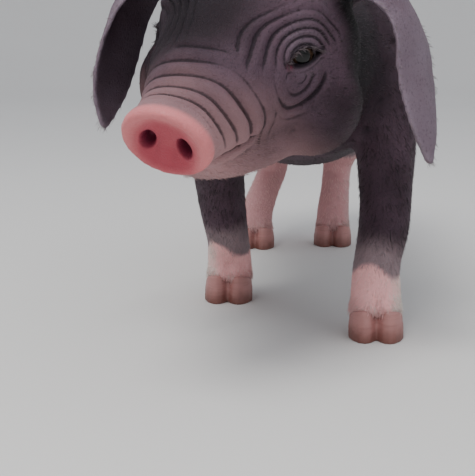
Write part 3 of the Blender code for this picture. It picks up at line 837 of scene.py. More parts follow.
def skin_finish(hues):
    """Dark mauve skin, pale socks, a pink disc, and painted shade in the creases, so that they are darker
    than the rolls between them.
    """
    finish = Finish("piglet_skin")
    tone, sheltered, beige, band = map(finish.stored, ("tone", "sheltered", "beige", "band"))
    pale, white, hind, hollow = map(finish.stored, ("pale", "white", "hind", "hollow"))
    bare, dished, nostril, lid = map(finish.stored, ("bare", "dished", "nostril", "lid"))
    cloud, blotch, speck = finish.noise(45.0, 4.0), finish.noise(150.0, 3.0), finish.noise(900.0, 2.0)
    tone = tone + (cloud - 0.5) * 0.5
    # The tone carries painted light on the brows and ears and painted shade on the forehead and cheeks.
    dark = finish.mix(tone.between(0.1, 0.65), hues.dark, hues.mauve)
    dark = finish.mix(tone.between(0.6, 1.1), dark, hues.grey)
    # Painted shade inside and behind the ears and on the forehead.
    dark = finish.mix(sheltered, dark, hues.shade)
    dark = finish.mix(speck.between(0.52, 0.75) * 0.4, dark, hues.shade)
    dark = finish.mix((beige + (cloud - 0.5) * beige * 0.6), dark, hues.beige)
    dark = finish.mix((band + (blotch - 0.5) * band * 0.8), dark, hues.band)
    pink = finish.mix((white + (blotch - 0.5) * 0.4).between(0.1, 0.9), hues.pink, hues.white)
    pink = finish.mix(hind * HIND_SKIN, pink, hues.mauve)
    colour = finish.mix((pale + (blotch - 0.5) * 0.3).between(0.25, 0.75), dark, pink)
    # Painted highlight on the disc's rim, painted shade in the dish and on the lower half.
    disc = finish.mix((dished + (blotch - 0.5) * 0.4).between(0.0, 0.9), hues.rim, hues.disc)
    # The nostrils darkened with painted shade.
    disc = finish.mix(nostril, disc, hues.nostril)
    colour = finish.mix(bare, colour, disc)
    # Painted shade in the creases, weaker on the pale feet and the bare disc.
    colour = finish.mix(hollow.between(0.05, 0.95) * (0.72 - pale * 0.5 - bare * 0.4), colour, hues.shade)
    # The lid rims' dark skin, with painted shade under the upper lid.
    colour = finish.mix(lid * 0.9, colour, hues.shade)
    colour = finish.mix(finish.stored("tear"), colour, hues.nostril)
    grain = finish.cells(520.0).between(0.0, 0.12) * 0.5 + finish.noise(420.0, 4.0) * 0.8
    flow = finish.noise(1.0, 2.0, (2600.0, 420.0, 2600.0)) * (1.0 - finish.stored("downward"))
    drop = finish.noise(1.0, 2.0, (2600.0, 2600.0, 420.0)) * finish.stored("downward")
    height = grain * 0.5 + (flow + drop) * (1.0 - bare)
    roughness = 0.6 - bare * 0.24 + (blotch - 0.5) * 0.2
    return finish.finished(
        height, 0.35 * MM, base_color=colour, roughness=roughness, specular_ior_level=0.15,
        subsurface_weight=0.12, subsurface_radius=(1.0, 0.45, 0.35), subsurface_scale=1.5 * MM,
    )


def hair_finish(hues):
    """Short hair: near black on the dark skin, grey on the ears as painted sheen, pink and white on the feet,
    darker in painted shade.
    """
    finish = Finish("piglet_hair")
    tone, sheltered, beige, band = map(finish.stored, ("tone", "sheltered", "beige", "band"))
    pale, white, hind = map(finish.stored, ("pale", "white", "hind"))
    strand, along = map(finish.stored, ("strand", "along"))
    dark = finish.mix(strand, hues.dark, hues.brown)
    light = finish.mix(strand * 0.4, hues.grey, hues.brown)
    # Greyer where the skin's tone carries painted light and towards the tips as painted sheen, dark in
    # painted shade.
    grey_and_painted_light = (tone.between(0.55, 0.95) * 0.95 + along * 0.05) * (1.0 - sheltered)
    colour = finish.mix(grey_and_painted_light, dark, light)
    colour = finish.mix((band + strand * band * 0.5) * 0.75, colour, hues.grey)
    colour = finish.mix(beige * 0.55, colour, hues.pink)
    foot = finish.mix((white + strand * 0.5).between(0.2, 0.9), hues.pink, hues.white)
    foot = finish.mix(hind * HIND_HAIR, foot, hues.grey)
    colour = finish.mix((pale + strand * 0.25).between(0.35, 0.75), colour, foot)
    return finish.finished(base_color=colour, roughness=0.5, specular_ior_level=0.2)


def eye_finish(hues):
    """A dark iris round a wide pupil, in a pinkish white."""
    finish = Finish("piglet_eye")
    angle, streak = finish.stored("gaze"), finish.noise(900.0, 3.0)
    iris = finish.mix(streak * 0.12, hues.iris, hues.white)
    colour = finish.mix(angle.between(*PUPIL_RIM), PUPIL, iris)
    colour = finish.mix(angle.between(*IRIS_RIM), colour, PUPIL)
    colour = finish.mix(angle.between(*WHITE_RIM), colour, hues.white)
    return finish.finished(base_color=colour, roughness=0.09, specular_ior_level=0.35)


def horn_finish(hues):
    """Pink horn like the foot above, ridged round the claw, reddish brown at the ground."""
    finish = Finish("piglet_horn")
    place = finish.node("ShaderNodeTexCoord", {}, {}, "Object")
    height = finish.node("ShaderNodeSeparateXYZ", {}, {"Vector": place}, "Z")
    cloud = finish.noise(160.0, 3.0)
    ridge = finish.noise(1.0, 2.0, (60.0, 60.0, 900.0))
    # Darker towards the ground.
    near_ground = 1.0 - (height + (cloud - 0.5) * 0.006).between(0.001, 0.010)
    colour = finish.mix(near_ground * 0.9, hues.horn, hues.tip)
    colour = finish.mix(ridge.between(0.5, 0.8) * 0.3, colour, hues.tip)
    return finish.finished(
        ridge, 0.25 * MM, base_color=colour, roughness=0.42 + cloud * 0.15, subsurface_weight=0.1,
        subsurface_radius=(1.0, 0.4, 0.3), subsurface_scale=1.0 * MM,
    )


# ---- Eyes and claws. ----

CORNEA_BULGE, CORNEA_ANGLE = 0.07, 0.62
CLAW_ENDS = ("claw_outer", "claw_inner", "dewclaw_outer", "dewclaw_inner")
# In millimetres; the lift raises the upper rim of the claws into the hair above them.
CLAW_GROWTH, CLAW_VOXEL, RIDGE_DEPTH = 0.05, 0.75, 0.16
CLAW_TOP, CLAW_RIM_LIFT = 16.0, 1.8


def eyeball(side):
    """An eye with a bulging cornea, and how far round from the way it looks each point lies."""
    bm = bmesh.new()
    bmesh.ops.create_uvsphere(bm, u_segments=48, v_segments=32, radius=1.0, matrix=turned(90.0, "X"))
    angles = []
    for vert in bm.verts:
        angle = math.acos(max(-1.0, min(1.0, -vert.co.y)))
        angles.append(angle)
        vert.co *= EYE_RADIUS * (1.0 + CORNEA_BULGE * math.exp(-((angle / CORNEA_ANGLE) ** 4)))
    place = Matrix.Scale(MM, 4) @ eye_frame(side) @ Matrix.Translation((0.0, EYE_SINK, 0.0))
    bmesh.ops.transform(bm, matrix=place, verts=bm.verts)
    mesh = bpy.data.meshes.new("eye")
    bm.to_mesh(mesh)
    bm.free()
    layer = mesh.attributes.new("gaze", "FLOAT", "POINT")
    layer.data.foreach_set("value", angles)
    return mesh


def claws(names, spacing):
    """One foot's claws and dewclaws, smooth, with flat soles and a ridge every spacing mm."""
    horn = Skin(grown(names, CLAW_GROWTH * MM, CLAW_VOXEL * MM))
    before = horn.co[:, 2].copy()
    horn.relax(9)
    horn.co[:, 2] = before + (horn.co[:, 2] - before) * smoothstep(before, 0.2 * MM, 1.4 * MM)
    height = horn.co[:, 2] / MM
    ridges = RIDGE_DEPTH * (np.abs(np.sin(height * math.pi / spacing)) ** 0.5 - ROLL_LEVEL)
    horn.push(ridges * smoothstep(height, 0.5, 2.0))
    rims = smoothstep(height, 7.0, 12.0) * (height < CLAW_TOP)
    horn.co[:, 2] = np.maximum(horn.co[:, 2] + CLAW_RIM_LIFT * MM * rims, 0.0)
    horn.write()
    return horn.mesh


# ---- Coat. ----

# Where each part's surface lies on the coat's flat map: left, bottom, right, top.
ATLAS = {
    "trunk": (0.0, 0.5, 1.0, 1.0), "head": (0.0, 0.2, 0.4, 0.5), "lower_jaw": (0.4, 0.4, 0.5, 0.5),
    "snout_disc": (0.4, 0.3, 0.5, 0.4), "tail": (0.4, 0.2, 0.5, 0.3), "neck": (0.5, 0.3, 0.8, 0.5),
    "ear_left": (0.8, 0.3, 1.0, 0.4), "ear_right": (0.8, 0.4, 1.0, 0.5),
    **{limb: (0.125 * place, 0.0, 0.125 * (place + 1), 0.2) for place, limb in enumerate(LIMB_NODES)},
}
# The gap inside each of these, the size of a lock's patch, and the way that an ear's front faces.
ATLAS_GAP, PATCH, EAR_FRONT = 0.02, 0.003, (1.0, 0.3, 0.0)
# The way the coat lies. On head and ears it fans out instead, from the snout disc and from the
# ear's root in the head's frame. Everywhere it swirls a little.
LIES = {("trunk", "neck"): (0.0, 1.0, -0.22), LIMB_NODES: (0.0, 0.35, -1.0), ("tail",): (0.0, 0.1, -1.0)}
EAR_ROOT = (34.0, 38.0, 18.0)
SWIRL = 0.25
# Each part's coat: a lock's length and half width in millimetres, locks per square millimetre, and
# how steeply they rise from the skin. Then what some places add to these four.
COATS = {
    ("trunk", "neck"): (5.5, 0.20, 0.26, 0.22),
    ("head", "snout_disc"): (1.5, 0.11, 0.55, 0.22),
    ("lower_jaw",): (4.0, 0.11, 0.55, 0.40),
    EARS: (2.4, 0.13, 0.50, 0.16),
    LIMB_NODES: (4.6, 0.18, 0.35, 0.22),
    ("tail",): (4.0, 0.20, 0.80, 0.22),
}
COAT_CHANGES = {
    "ridge": (3.5, 0.0, 0.5, 0.18),
    "belly": (0.0, 0.0, -0.14, 0.0),
    "back of head": (2.3, 0.05, 0.0, 0.0),
    "back of jaw": (0.0, 0.05, 0.0, 0.0),
    "rim of ear": (1.4, 0.0, 0.9, 0.08),
    "inside of ear": (0.0, 0.0, -0.3, 0.0),
    "lower leg": (-1.4, -0.04, 0.45, 0.0),
    "cuff": (2.2, 0.0, 2.6, 0.12),
    "tip of tail": (8.0, 0.0, 1.6, 0.0),
}
# The lashes' length, half width, density and rise, and their way in the eye's frame.
LASHES, LASH_WAY = (3.4, 0.14, 3.5, 0.5), (0.3, -0.8, -0.6)
# No hair grows below this height, on the claws.
COAT_FOOT = 9.0
# A lock's shape, how much it strays from the coat's way and droops, and its range of sizes.
LOCK_BELLY, LOCK_THICKNESS = 1.5, 0.35
STRAY, DROOP = 0.22, 0.55
LENGTH_RANGE, WIDTH_RANGE, RISE_RANGE = (0.65, 1.25), (0.7, 1.3), (0.3, 1.6)
# How deep the roots sit in the skin in millimetres, and what stays free inside the CAD's box.
ROOT_SINK, EDGE_MARGIN = 0.25, 0.1 * MM
COAT_MARKS = ("pale", "tone", "beige", "band", "white", "sheltered", "hind")


def flat_map(co, normal, labels):
    """Where each point lies on the coat's flat map, which unrolls every part round its own axis."""
    flat = np.zeros((len(co), 2))
    for name, (left, bottom, right, top) in ATLAS.items():
        here = labelled(labels, name)
        low, high = (np.array(corner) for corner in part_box(name))
        part = (co[here] - (low + high) / 2) / (high - low)
        if name in EARS:
            face = 0.5 * (normal[here] @ np.array(EAR_FRONT) > 0.0)
            along, across = part[:, 2] + 0.5, 0.5 * (part[:, 1] + 0.5) + face
        elif name in LIMB_NODES or name == "tail":
            along, across = part[:, 2] + 0.5, np.arctan2(part[:, 0], part[:, 1]) / (2 * math.pi) + 0.5
        else:
            along, across = part[:, 1] + 0.5, np.arctan2(part[:, 0], part[:, 2]) / (2 * math.pi) + 0.5
        flat[here, 0] = left + (right - left) * np.clip(across, ATLAS_GAP, 1.0 - ATLAS_GAP)
        flat[here, 1] = bottom + (top - bottom) * np.clip(along, ATLAS_GAP, 1.0 - ATLAS_GAP)
    return flat


def lie_of_coat(skin, labels):
    """The way the coat lies: back from the snout, out along the ears and down the limbs."""
    mm = skin.co / MM
    flow = by_part(labels, LIES)
    on_head = labelled(labels, "head", "lower_jaw", "snout_disc")
    flow[on_head] = (mm - np.array(disc_frame().translation))[on_head]
    for side, ear in ((1, "ear_left"), (-1, "ear_right")):
        root = np.array(HEAD @ Vector((side * EAR_ROOT[0], *EAR_ROOT[1:])))
        flow[labelled(labels, ear)] = (mm - root)[labelled(labels, ear)]
    flow = skin.softened(unit(flow), 14)
    flow += SWIRL * np.stack([wobble(skin.co, 40.0, seed) for seed in (51, 52, 53)], 1)
    return unit(flow - skin.normal * (flow * skin.normal).sum(1)[:, None])


def coat_changes(skin, labels):
    """Where each of COAT_CHANGES holds, from 0 to 1 at each point."""
    z = skin.co[:, 2] / MM
    up = skin.normal[:, 2]
    from_spine = skin.co[:, 0] / MM - node_middle("trunk").x
    legs, ears = labelled(labels, *LIMB_NODES), labelled(labels, *EARS)
    behind = smoothstep(seen_from(HEAD, skin.co)[:, 1], -45.0, 30.0)
    return {
        "ridge": labelled(labels, "trunk", "neck") * bump_at(from_spine, 0.0, 13.0) * (up > 0.6),
        "belly": labelled(labels, "trunk") * smoothstep(-up, 0.3, 0.8),
        "back of head": labelled(labels, "head", "snout_disc") * behind,
        "back of jaw": labelled(labels, "lower_jaw") * behind,
        "rim of ear": ears * smoothstep(-skin.softened(skin.hollowness(), 2), 0.05, 0.12),
        # The ears' painted shade also marks their inner sides, where the hair is thinner.
        "inside of ear": ears * skin.stored("sheltered"),
        "lower leg": legs * smoothstep(-z, -60.0, -20.0),
        "cuff": legs * bump_at(z, 15.5, 4.5),
        "tip of tail": labelled(labels, "tail") * smoothstep(-z, -125.0, -105.0),
    }


def coat_plan(skin, labels, flank_length, flank_width):
    """The coat's length, half width, density and rise at each point, as COATS gives them."""
    plan = by_part(labels, COATS)
    for name, where in coat_changes(skin, labels).items():
        plan += where[:, None] * np.array(COAT_CHANGES[name])
    length, half, dense, rise = plan.T
    bald = np.clip(skin.stored("bare") + skin.stored("nostril") + skin.stored("lid"), 0.0, 1.0)
    dense = dense * (1.0 - bald) * (skin.co[:, 2] / MM > COAT_FOOT)
    return length * flank_length / FLANK_LENGTH, half * flank_width / FLANK_WIDTH, dense, rise


def lock_shape():
    """One slim lock, 1 long and widest in the middle: its points and its triangles."""
    bm = bmesh.new()
    bmesh.ops.create_cone(bm, cap_ends=True, segments=3, radius1=1.0, radius2=0.0, depth=1.0)
    bmesh.ops.remove_doubles(bm, verts=bm.verts, dist=1e-5)
    bmesh.ops.translate(bm, vec=(0.0, 0.0, 0.5), verts=bm.verts)
    sides = [edge for edge in bm.edges if abs(edge.verts[0].co.z - edge.verts[1].co.z) > 0.5]
    bmesh.ops.subdivide_edges(bm, edges=sides, cuts=1)
    bmesh.ops.triangulate(bm, faces=bm.faces)
    bm.verts.index_update()
    points = np.array([vert.co for vert in bm.verts])
    triangles = np.array([[vert.index for vert in face.verts] for face in bm.faces])
    bm.free()
    middle = (points[:, 2] > 0.1) & (points[:, 2] < 0.9)
    points[:, :2] *= np.where(middle, LOCK_BELLY, 1.0)[:, None]
    points[:, 1] *= LOCK_THICKNESS
    return points, triangles


def scatter(skin, dense, rng):
    """Random places on the skin: for each, its triangle's points and their shares."""
    skin.mesh.calc_loop_triangles()
    corners = np.zeros((len(skin.mesh.loop_triangles), 3), int)
    skin.mesh.loop_triangles.foreach_get("vertices", corners.ravel())
    a, b, c = (skin.co[corners[:, k]] / MM for k in range(3))
    area = 0.5 * np.linalg.norm(np.cross(b - a, c - a), axis=1)
    due = area * dense[corners].mean(1)
    chosen = rng.choice(len(due), size=int(due.sum()), p=due / due.sum())
    shares = rng.dirichlet((1.0, 1.0, 1.0), size=len(chosen))
    return corners[chosen], shares


def at_roots(values, corners, shares):
    """Values of the skin's points taken at the roots of the locks."""
    picked = values[corners]
    weight = shares if values.ndim == 1 else shares[:, :, None]
    return (picked * weight).sum(1)


def unit(vectors):
    """Vectors made 1 long."""
    return vectors / np.maximum(np.linalg.norm(vectors, axis=1), TINY)[:, None]


def lock_points(root, normal, way, plan, rng):
    """Every lock's points: it bends back from the skin and lies along the coat's way."""
    length, half, rise = plan
    count = len(root)
    normal = unit(normal)
    way = way + np.cross(normal, way) * rng.normal(0.0, STRAY, count)[:, None]
    way = unit(way - normal * (way * normal).sum(1)[:, None])
    side = np.cross(normal, way)
    long = length * rng.uniform(*LENGTH_RANGE, count) * MM
    wide = half * rng.uniform(*WIDTH_RANGE, count) * MM
    rise = rise * rng.uniform(*RISE_RANGE, count)
    across, thick, along = (values[None] for values in lock_shape()[0].T)
    height = (long * rise)[:, None] * along * (1.0 - DROOP * along) - ROOT_SINK * MM + thick * wide[:, None]
    co = root[:, None] + side[:, None] * (across * wide[:, None])[..., None]
    return co + way[:, None] * (along * long[:, None])[..., None] + normal[:, None] * height[..., None]


def coat_mesh(name, points, roots_on_map):
    """Locks as one mesh, with each lock's patch at its root's place on the flat map."""
    template, triangles = lock_shape()
    count, each = points.shape[:2]
    co = np.clip(points.reshape(-1, 3), np.array(CAD_LOW) + EDGE_MARGIN, np.array(CAD_HIGH) - EDGE_MARGIN)
    faces = (triangles[None] + each * np.arange(count)[:, None, None]).reshape(-1, 3)
    mesh = bpy.data.meshes.new(name)
    mesh.vertices.add(len(co))
    mesh.vertices.foreach_set("co", co.ravel())
    mesh.loops.add(faces.size)
    mesh.loops.foreach_set("vertex_index", faces.ravel())
    mesh.polygons.add(len(faces))
    mesh.polygons.foreach_set("loop_start", np.arange(0, faces.size, 3))
    mesh.update(calc_edges=True)
    patch = np.stack([template[:, 0] / 3.0, template[:, 2]], 1) * PATCH
    uv = (roots_on_map[:, None] + patch[None]).reshape(-1, 2)[faces.ravel()]
    mesh.uv_layers.new(name="OFBake").data.foreach_set("uv", uv.ravel())
    return mesh


def coat_piece(name, skin, plan, lie, labels, where, density, seed):
    """One piece of coat: a lock at each random place in a zone of the skin."""
    rng = np.random.default_rng(seed)
    length, half, dense, rise = plan
    share = density * 1.0
    corners, shares = scatter(skin, dense * where * share, rng)
    root, normal, way = (at_roots(values, corners, shares) for values in (skin.co, skin.normal, lie))
    sizes = [at_roots(values, corners, shares) for values in (length, half, rise)]
    points = lock_points(root, normal, way, sizes, rng)
    nearest = corners[np.arange(len(corners)), shares.argmax(1)]
    flat = flat_map(skin.co[nearest], skin.normal[nearest], labels[nearest])
    mesh = coat_mesh(name, points, flat)
    holder = Skin(mesh)
    count, each = points.shape[:2]
    for mark in COAT_MARKS:
        holder.store(mark, np.repeat(at_roots(skin.stored(mark), corners, shares), each))
    holder.store("strand", np.repeat(rng.random(count), each))
    holder.store("along", np.tile(lock_shape()[0][:, 2], count))
    return mesh


def lashes(skin, labels, lie, seed):
    """The lashes of both upper lids, which hang forward over the eyes."""
    where, hang = np.zeros(len(skin.co)), lie.copy()
    for side in (1, -1):
        u, v, w = eye_view(skin.co, side)
        edge = lid_edge(u, v)
        here = (w > 0.0) & (w < LID_AREA) & (edge > 0.1) & (edge < 1.1) & (v > 0.2)
        where = np.maximum(where, here)
        way = np.array((side * LASH_WAY[0], *LASH_WAY[1:]))
        hang[here] = np.array(eye_frame(side).to_3x3()) @ way
    plan = [np.full(len(skin.co), value) for value in LASHES]
    return coat_piece("lashes", skin, plan, hang, labels, where, 1.0, seed)


def make_coat(settings):
    """The coat in pieces of under 200,000 triangles, and the lashes."""
    skin = Skin(bpy.data.objects["skin"].data)
    labels = node_labels(skin.co)
    plan = coat_plan(skin, labels, settings.length / MM, settings.width / MM)
    lie = lie_of_coat(skin, labels)
    finish = hair_finish(settings)
    left = skin.co[:, 0] > node_middle("trunk").x * MM
    body, limbs = labelled(labels, "trunk", "neck"), labelled(labels, *LIMB_NODES)
    ahead = skin.co[:, 1] < 0.0
    zones = {
        "coat_flank_left": (body & left, "skin_dark"),
        "coat_flank_right": (body & ~left, "skin_dark"),
        "coat_head": (labelled(labels, "head", "lower_jaw", "snout_disc"), "skin_dark"),
        "coat_ears": (labelled(labels, *EARS), "skin_dark"),
        "coat_fore_legs": (limbs & ahead, "skin_pale"),
        "coat_hind_legs": (limbs & ~ahead, "skin_pale"),
        "coat_tail": (labelled(labels, "tail"), "skin_dark"),
    }
    for seed, (name, (where, slot)) in enumerate(zones.items()):
        mesh = coat_piece(name, skin, plan, lie, labels, where, settings.density, seed)
        new_piece(name, mesh, finish)
    new_piece("lashes", lashes(skin, labels, lie, len(zones)), finish)


# ---- Studio. ----

FLOOR_SIDES, SWEEP_RADIUS, SWEEP_STEPS, WALL_HEIGHT = 96, 1.2, 12, 1.0
FLOOR_GREY = (0.5, 0.5, 0.5)
# Each lamp's place, size and colour; its power is a setting of the same name.
LAMPS = {
    "key": ((-0.3, -0.65, 1.2), 0.6, (1.0, 0.98, 0.95)),
    "fill": ((0.9, -0.9, 0.7), 0.9, (0.95, 0.97, 1.0)),
}
LAMP_TARGET = (0.0, -0.1, 0.1)
SKY = (0.90, 0.93, 1.0)
# The camera's place from the head in millimetres, and its turn aside and down in degrees.
CAMERA_FROM_HEAD, CAMERA_TURN = (34.35, -421.8, 0.0), (4.44, 10.9)


def stage_floor(radius, hue):
    """A round floor whose rim sweeps up as a backdrop on every side."""
    bm = bmesh.new()
    bmesh.ops.create_circle(bm, cap_ends=True, segments=FLOOR_SIDES, radius=radius)
    rim = list(bm.edges)
    for step in range(1, SWEEP_STEPS + 2):
        angle = min(step / SWEEP_STEPS, 1.0) * math.pi / 2
        out = radius + SWEEP_RADIUS * math.sin(angle)
        up = SWEEP_RADIUS * (1.0 - math.cos(angle)) + WALL_HEIGHT * (step > SWEEP_STEPS)
        made = bmesh.ops.extrude_edge_only(bm, edges=rim)["geom"]
        rim = [item for item in made if isinstance(item, bmesh.types.BMEdge)]
        for vert in [item for item in made if isinstance(item, bmesh.types.BMVert)]:
            flat = Vector((vert.co.x, vert.co.y, 0.0)).normalized()
            vert.co = flat * out + Vector((0.0, 0.0, up))
    bmesh.ops.recalc_face_normals(bm, faces=bm.faces)
    mesh = bpy.data.meshes.new("floor")
    bm.to_mesh(mesh)
    bm.free()
    mesh.shade_smooth()
    finish = Finish("pale_floor")
    colour = finish.mix(finish.noise(3.0, 3.0) * 0.12, tuple(hue), FLOOR_GREY)
    mesh.materials.append(finish.finished(base_color=colour, roughness=0.85))
    linked("floor", mesh)


def lamp(name, place, size, colour, energy):
    """A square soft lamp that points at the piglet."""
    light = bpy.data.lights.new(name, "AREA")
    light.energy, light.size, light.color = energy, size, colour
    obj = linked(name, light)
    obj.location = place
    obj.rotation_euler = (Vector(LAMP_TARGET) - Vector(place)).to_track_quat("-Z", "Y").to_euler()


def camera(lens):
    """A camera in front of the head, looking a little down."""
    yaw, fall = map(math.radians, CAMERA_TURN)
    data = bpy.data.cameras.new("camera")
    data.lens, data.clip_start = lens, 0.01
    obj = linked("camera", data)
    obj.location = (HEAD.translation + Vector(CAMERA_FROM_HEAD)) * MM
    look = Vector((-math.sin(yaw) * math.cos(fall), math.cos(yaw) * math.cos(fall), -math.sin(fall)))
    obj.rotation_euler = look.to_track_quat("-Z", "Y").to_euler()
    bpy.context.scene.camera = obj


def make_stage(settings):
    """The floor, the sky, the lamps and the camera."""
    stage_floor(settings.radius, settings.floor)
    world = bpy.data.worlds.new("studio")
    bpy.context.scene.world = world
    world.use_nodes = True
    shade = world.node_tree.nodes["Background"]
    shade.inputs["Color"].default_value = (*SKY, 1.0)
    shade.inputs["Strength"].default_value = settings.sky
    for name, (place, size, colour) in LAMPS.items():
        lamp(name, place, size, colour, getattr(settings, name))
    camera(settings.lens)


# ---- Marks and pieces. ----

# Height in millimetres where each foot's pink ends: all pink below the first, none above the second.
SOCKS = {
    "fore_left": (28.0, 38.0),
    "fore_right": (26.0, 34.0),
    "hind_left": (56.0, 74.0),
    "hind_right": (54.0, 72.0),
}
SOCK_BAND = 15.0
FORE_WHITE, HIND_WHITE = 0.6, 0.3
# How light the dark skin is, from 0 for dark to 1 for grey, and what some places add to the plain
# tone: painted light on the brows, painted skylight sheen on the ears, pale hair and a painted
# highlight on the ears' rims, painted shade on the forehead and the cheeks, and a little less on
# limbs and body; then how beige the muzzle is, and how strongly the forehead is darkened besides
# with painted shade.
PLAIN_TONE, EAR_SHEEN_TONE, EAR_RIM_HAIR_AND_HIGHLIGHT = 0.44, 0.84, 0.4
BROW_PAINTED_LIGHT, FOREHEAD_SHADE_TONE, CHEEK_PAINTED_SHADE, LIMB_TONE, BODY_TONE = 0.42, -0.5, -0.25, -0.05, -0.12
BEIGE, FOREHEAD_SHADE = 0.85, 0.85
# Widths in millimetres of the dark rims of the upper and the lower lid, their own dark skin with painted
# shade under the upper lid.
LID_RIMS = (3.3, 1.7)
# How much hollowness counts as a full crease's painted shade, and what stays free inside the CAD's box.
CREASE_SHADE_GAIN, SKIN_MARGIN = 10.0, 0.3


def sock_marks(skin, labels):
    """Where the feet are pink, grey above the pink, white on their outer sides, and hind."""
    z = skin.co[:, 2] / MM + 3.5 * wobble(skin.co, 13.0, 41)
    marks = {name: np.zeros(len(z)) for name in ("pale", "band", "white", "hind")}
    for leg, (low, high) in SOCKS.items():
        limb = labelled(labels, leg + "_lower", leg + "_upper")
        fore = leg.startswith("fore")
        outer = skin.normal[:, 0] * (1.0 if leg.endswith("left") else -1.0)
        marks["pale"] += limb * (1.0 - smoothstep(z, low, high))
        marks["band"] += limb * (1.0 - smoothstep(z, high, high + SOCK_BAND))
        marks["white"] += limb * smoothstep(outer, 0.0, 1.0) * (FORE_WHITE if fore else HIND_WHITE)
        marks["hind"] += limb * (not fore)
    return marks


def head_marks(skin, labels):
    """How light the dark skin is, with painted light and shade, where it is beige, and where it carries
    painted shade inside and behind the ears and on the forehead.
    """
    x, y, z = seen_from(HEAD, skin.co).T
    _, from_disc, over_disc = seen_from(disc_frame(), skin.co).T
    on_head = labelled(labels, "head", "lower_jaw", "snout_disc")
    ears = 1.0 * labelled(labels, *EARS)
    beige_end = from_disc + 6.0 * wobble(skin.co, 18.0, 42) + 0.75 * over_disc
    beige = BEIGE * on_head * (1.0 - smoothstep(beige_end, 3.0, 50.0))
    # Painted light on the brows; painted shade on the forehead and on the cheeks' lower back.
    brow = bump_at(np.abs(x), 30.0, 16.0) * bump_at(y, -4.0, 20.0) * bump_at(z, 6.0, 22.0)
    forehead = on_head * bump_at(x, -19.0, 29.0) * (1.0 - smoothstep(-y, 16.0, 38.0))
    cheek = smoothstep(y, -14.0, 10.0) * smoothstep(-z, 4.0, 20.0)
    # Lighter ear rims: pale hair, and a painted highlight where the edge catches light.
    rim = ears * smoothstep(-skin.softened(skin.hollowness(), 2), 0.03, 0.10)
    tone = PLAIN_TONE + on_head * (BROW_PAINTED_LIGHT * brow + CHEEK_PAINTED_SHADE * cheek) + FOREHEAD_SHADE_TONE * forehead
    tone += LIMB_TONE * labelled(labels, *LIMB_NODES) + BODY_TONE * labelled(labels, "trunk", "neck", "tail")
    tone = skin.softened(tone * (1.0 - ears) + (EAR_SHEEN_TONE + EAR_RIM_HAIR_AND_HIGHLIGHT * rim) * ears, 3)
    tone += 0.10 * wobble(skin.co, 40.0, 44)
    outward = np.sign(x) * (skin.normal @ axis(HEAD, 0))
    # Painted shade on the ears' inner sides.
    inside = ears * (1.0 - smoothstep(outward, -0.35, 0.15)) * (0.3 - 0.25 * rim)
    # Painted shade on the neck and shoulder behind the head, under the ears.
    behind = smoothstep(y, 12.0, 32.0) * (1.0 - smoothstep(y, 55.0, 125.0)) * (1.0 - ears)
    behind *= 1.0 - smoothstep(skin.normal[:, 2], 0.35, 0.8)
    behind *= smoothstep(skin.co[:, 2] / MM, 88.0, 128.0)
    # All the painted shade: inside and behind the ears, and on the forehead.
    sheltered = np.maximum(inside, skin.softened(behind + FOREHEAD_SHADE * forehead, 3))
    return {"tone": tone, "beige": beige, "sheltered": sheltered}


def eye_marks(skin, edge):
    """The dark rims of the lids, their own dark skin with painted shade under the upper lid, and the red
    inner corners.
    """
    tear, rim = np.zeros(len(edge)), np.zeros(len(edge))
    near = edge < FAR
    for side in (1, -1):
        u, v, w = eye_view(skin.co, side)
        corner = 0.7 * bump_at(u, -LID_HALF_LENGTH, 1.6) * bump_at(v, -0.7, 1.2)
        width = np.where(v > 0.0, *LID_RIMS)
        tear = np.maximum(tear, corner * near)
        rim = np.maximum(rim, near * (1.0 - smoothstep(edge, 0.3 * width, width)) * (w > 0.0))
    return {"lid": rim * (1.0 - tear), "tear": tear}


def make_skin(settings):
    """The skin with its folds, its marks and its finish."""
    skin = base_skin(settings.voxel)
    labels = node_labels(skin.co)
    sculpt_body(skin, labels, settings.body_folds)
    sculpt_feet(skin, labels)
    sculpt_face(skin, labels, settings.face_folds)
    edge = np.minimum(*[sculpt_lids(skin, side) for side in (1, -1)])
    marks = sculpt_disc(skin)
    margin = SKIN_MARGIN * MM
    skin.co = np.clip(skin.co, np.array(CAD_LOW) + margin, np.array(CAD_HIGH) - margin)
    skin.write()
    marks |= sock_marks(skin, labels) | head_marks(skin, labels) | eye_marks(skin, edge)
    marks["downward"] = skin.softened(1.0 * labelled(labels, *EARS, "tail", *LIMB_NODES), 12)
    # Painted shade in the creases, from how hollow the surface is.
    marks["hollow"] = np.clip(skin.softened(skin.hollowness(), 4) * CREASE_SHADE_GAIN, 0.0, 1.0)
    for name, values in marks.items():
        skin.store(name, values)
    new_piece("skin", skin.mesh, skin_finish(settings), FLESH)


def make_eyes(settings):
    """Both eyeballs."""
    finish = eye_finish(settings)
    for side, word in ((1, "left"), (-1, "right")):
        new_piece("eyeball_" + word, eyeball(side), finish, ["eye_" + word])


def make_claws(settings):
    """The claws and dewclaws of each foot as one piece."""
    finish = horn_finish(settings)
    for leg in LEGS:
        names = [f"{leg}_{end}" for end in CLAW_ENDS]
        new_piece("claws_" + leg, claws(names, settings.ridge / MM), finish, names)


# ---- Operators and panel. ----


class PIGLET_OT_skin(bpy.types.Operator):
    """Grow the skin round the flesh and sculpt it"""

    bl_idname = "piglet.skin"
    bl_label = "Make Skin"

    def execute(self, context):
        make_skin(context.scene.piglet_skin)
        return {"FINISHED"}


class PIGLET_OT_eyes(bpy.types.Operator):
    """Make both eyeballs"""

    bl_idname = "piglet.eyes"
    bl_label = "Make Eyes"

    def execute(self, context):
        make_eyes(context.scene.piglet_eyes)
        return {"FINISHED"}


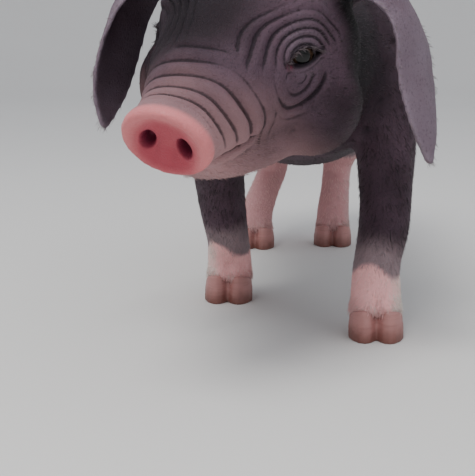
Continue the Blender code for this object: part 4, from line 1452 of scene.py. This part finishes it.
class PIGLET_OT_claws(bpy.types.Operator):
    """Make the claws of all four feet"""

    bl_idname = "piglet.claws"
    bl_label = "Make Claws"

    def execute(self, context):
        make_claws(context.scene.piglet_claws)
        return {"FINISHED"}


class PIGLET_OT_coat(bpy.types.Operator):
    """Make the coat and the lashes on the skin, which must be made first"""

    bl_idname = "piglet.coat"
    bl_label = "Make Coat"

    def execute(self, context):
        make_coat(context.scene.piglet_coat)
        return {"FINISHED"}


class PIGLET_OT_stage(bpy.types.Operator):
    """Make the floor, the lamps, the sky and the camera"""

    bl_idname = "piglet.stage"
    bl_label = "Make Stage"

    def execute(self, context):
        make_stage(context.scene.piglet_stage)
        return {"FINISHED"}


SECTIONS = {
    "piglet_skin": (PigletSkinSettings, PIGLET_OT_skin),
    "piglet_eyes": (PigletEyeSettings, PIGLET_OT_eyes),
    "piglet_claws": (PigletClawSettings, PIGLET_OT_claws),
    "piglet_coat": (PigletCoatSettings, PIGLET_OT_coat),
    "piglet_stage": (PigletStageSettings, PIGLET_OT_stage),
}


class PIGLET_PT_panel(bpy.types.Panel):
    """The piglet's sizes, colours and pieces"""

    bl_idname = "PIGLET_PT_panel"
    bl_label = "Piglet"
    bl_space_type = "VIEW_3D"
    bl_region_type = "UI"
    bl_category = "Piglet"

    def draw(self, context):
        for name, (settings, operator) in SECTIONS.items():
            box = self.layout.box()
            for setting in settings.__annotations__:
                box.prop(getattr(context.scene, name), setting)
            box.operator(operator.bl_idname)


def register():
    for name, (settings, operator) in SECTIONS.items():
        bpy.utils.register_class(settings)
        bpy.utils.register_class(operator)
        setattr(bpy.types.Scene, name, bpy.props.PointerProperty(type=settings))
    bpy.utils.register_class(PIGLET_PT_panel)


def unregister():
    bpy.utils.unregister_class(PIGLET_PT_panel)
    for name, (settings, operator) in SECTIONS.items():
        delattr(bpy.types.Scene, name)
        bpy.utils.unregister_class(operator)
        bpy.utils.unregister_class(settings)


def main():
    register()
    bpy.ops.piglet.skin()
    bpy.ops.piglet.eyes()
    bpy.ops.piglet.claws()
    bpy.ops.piglet.coat()
    bpy.ops.piglet.stage()


if __name__ == "__main__":
    main()
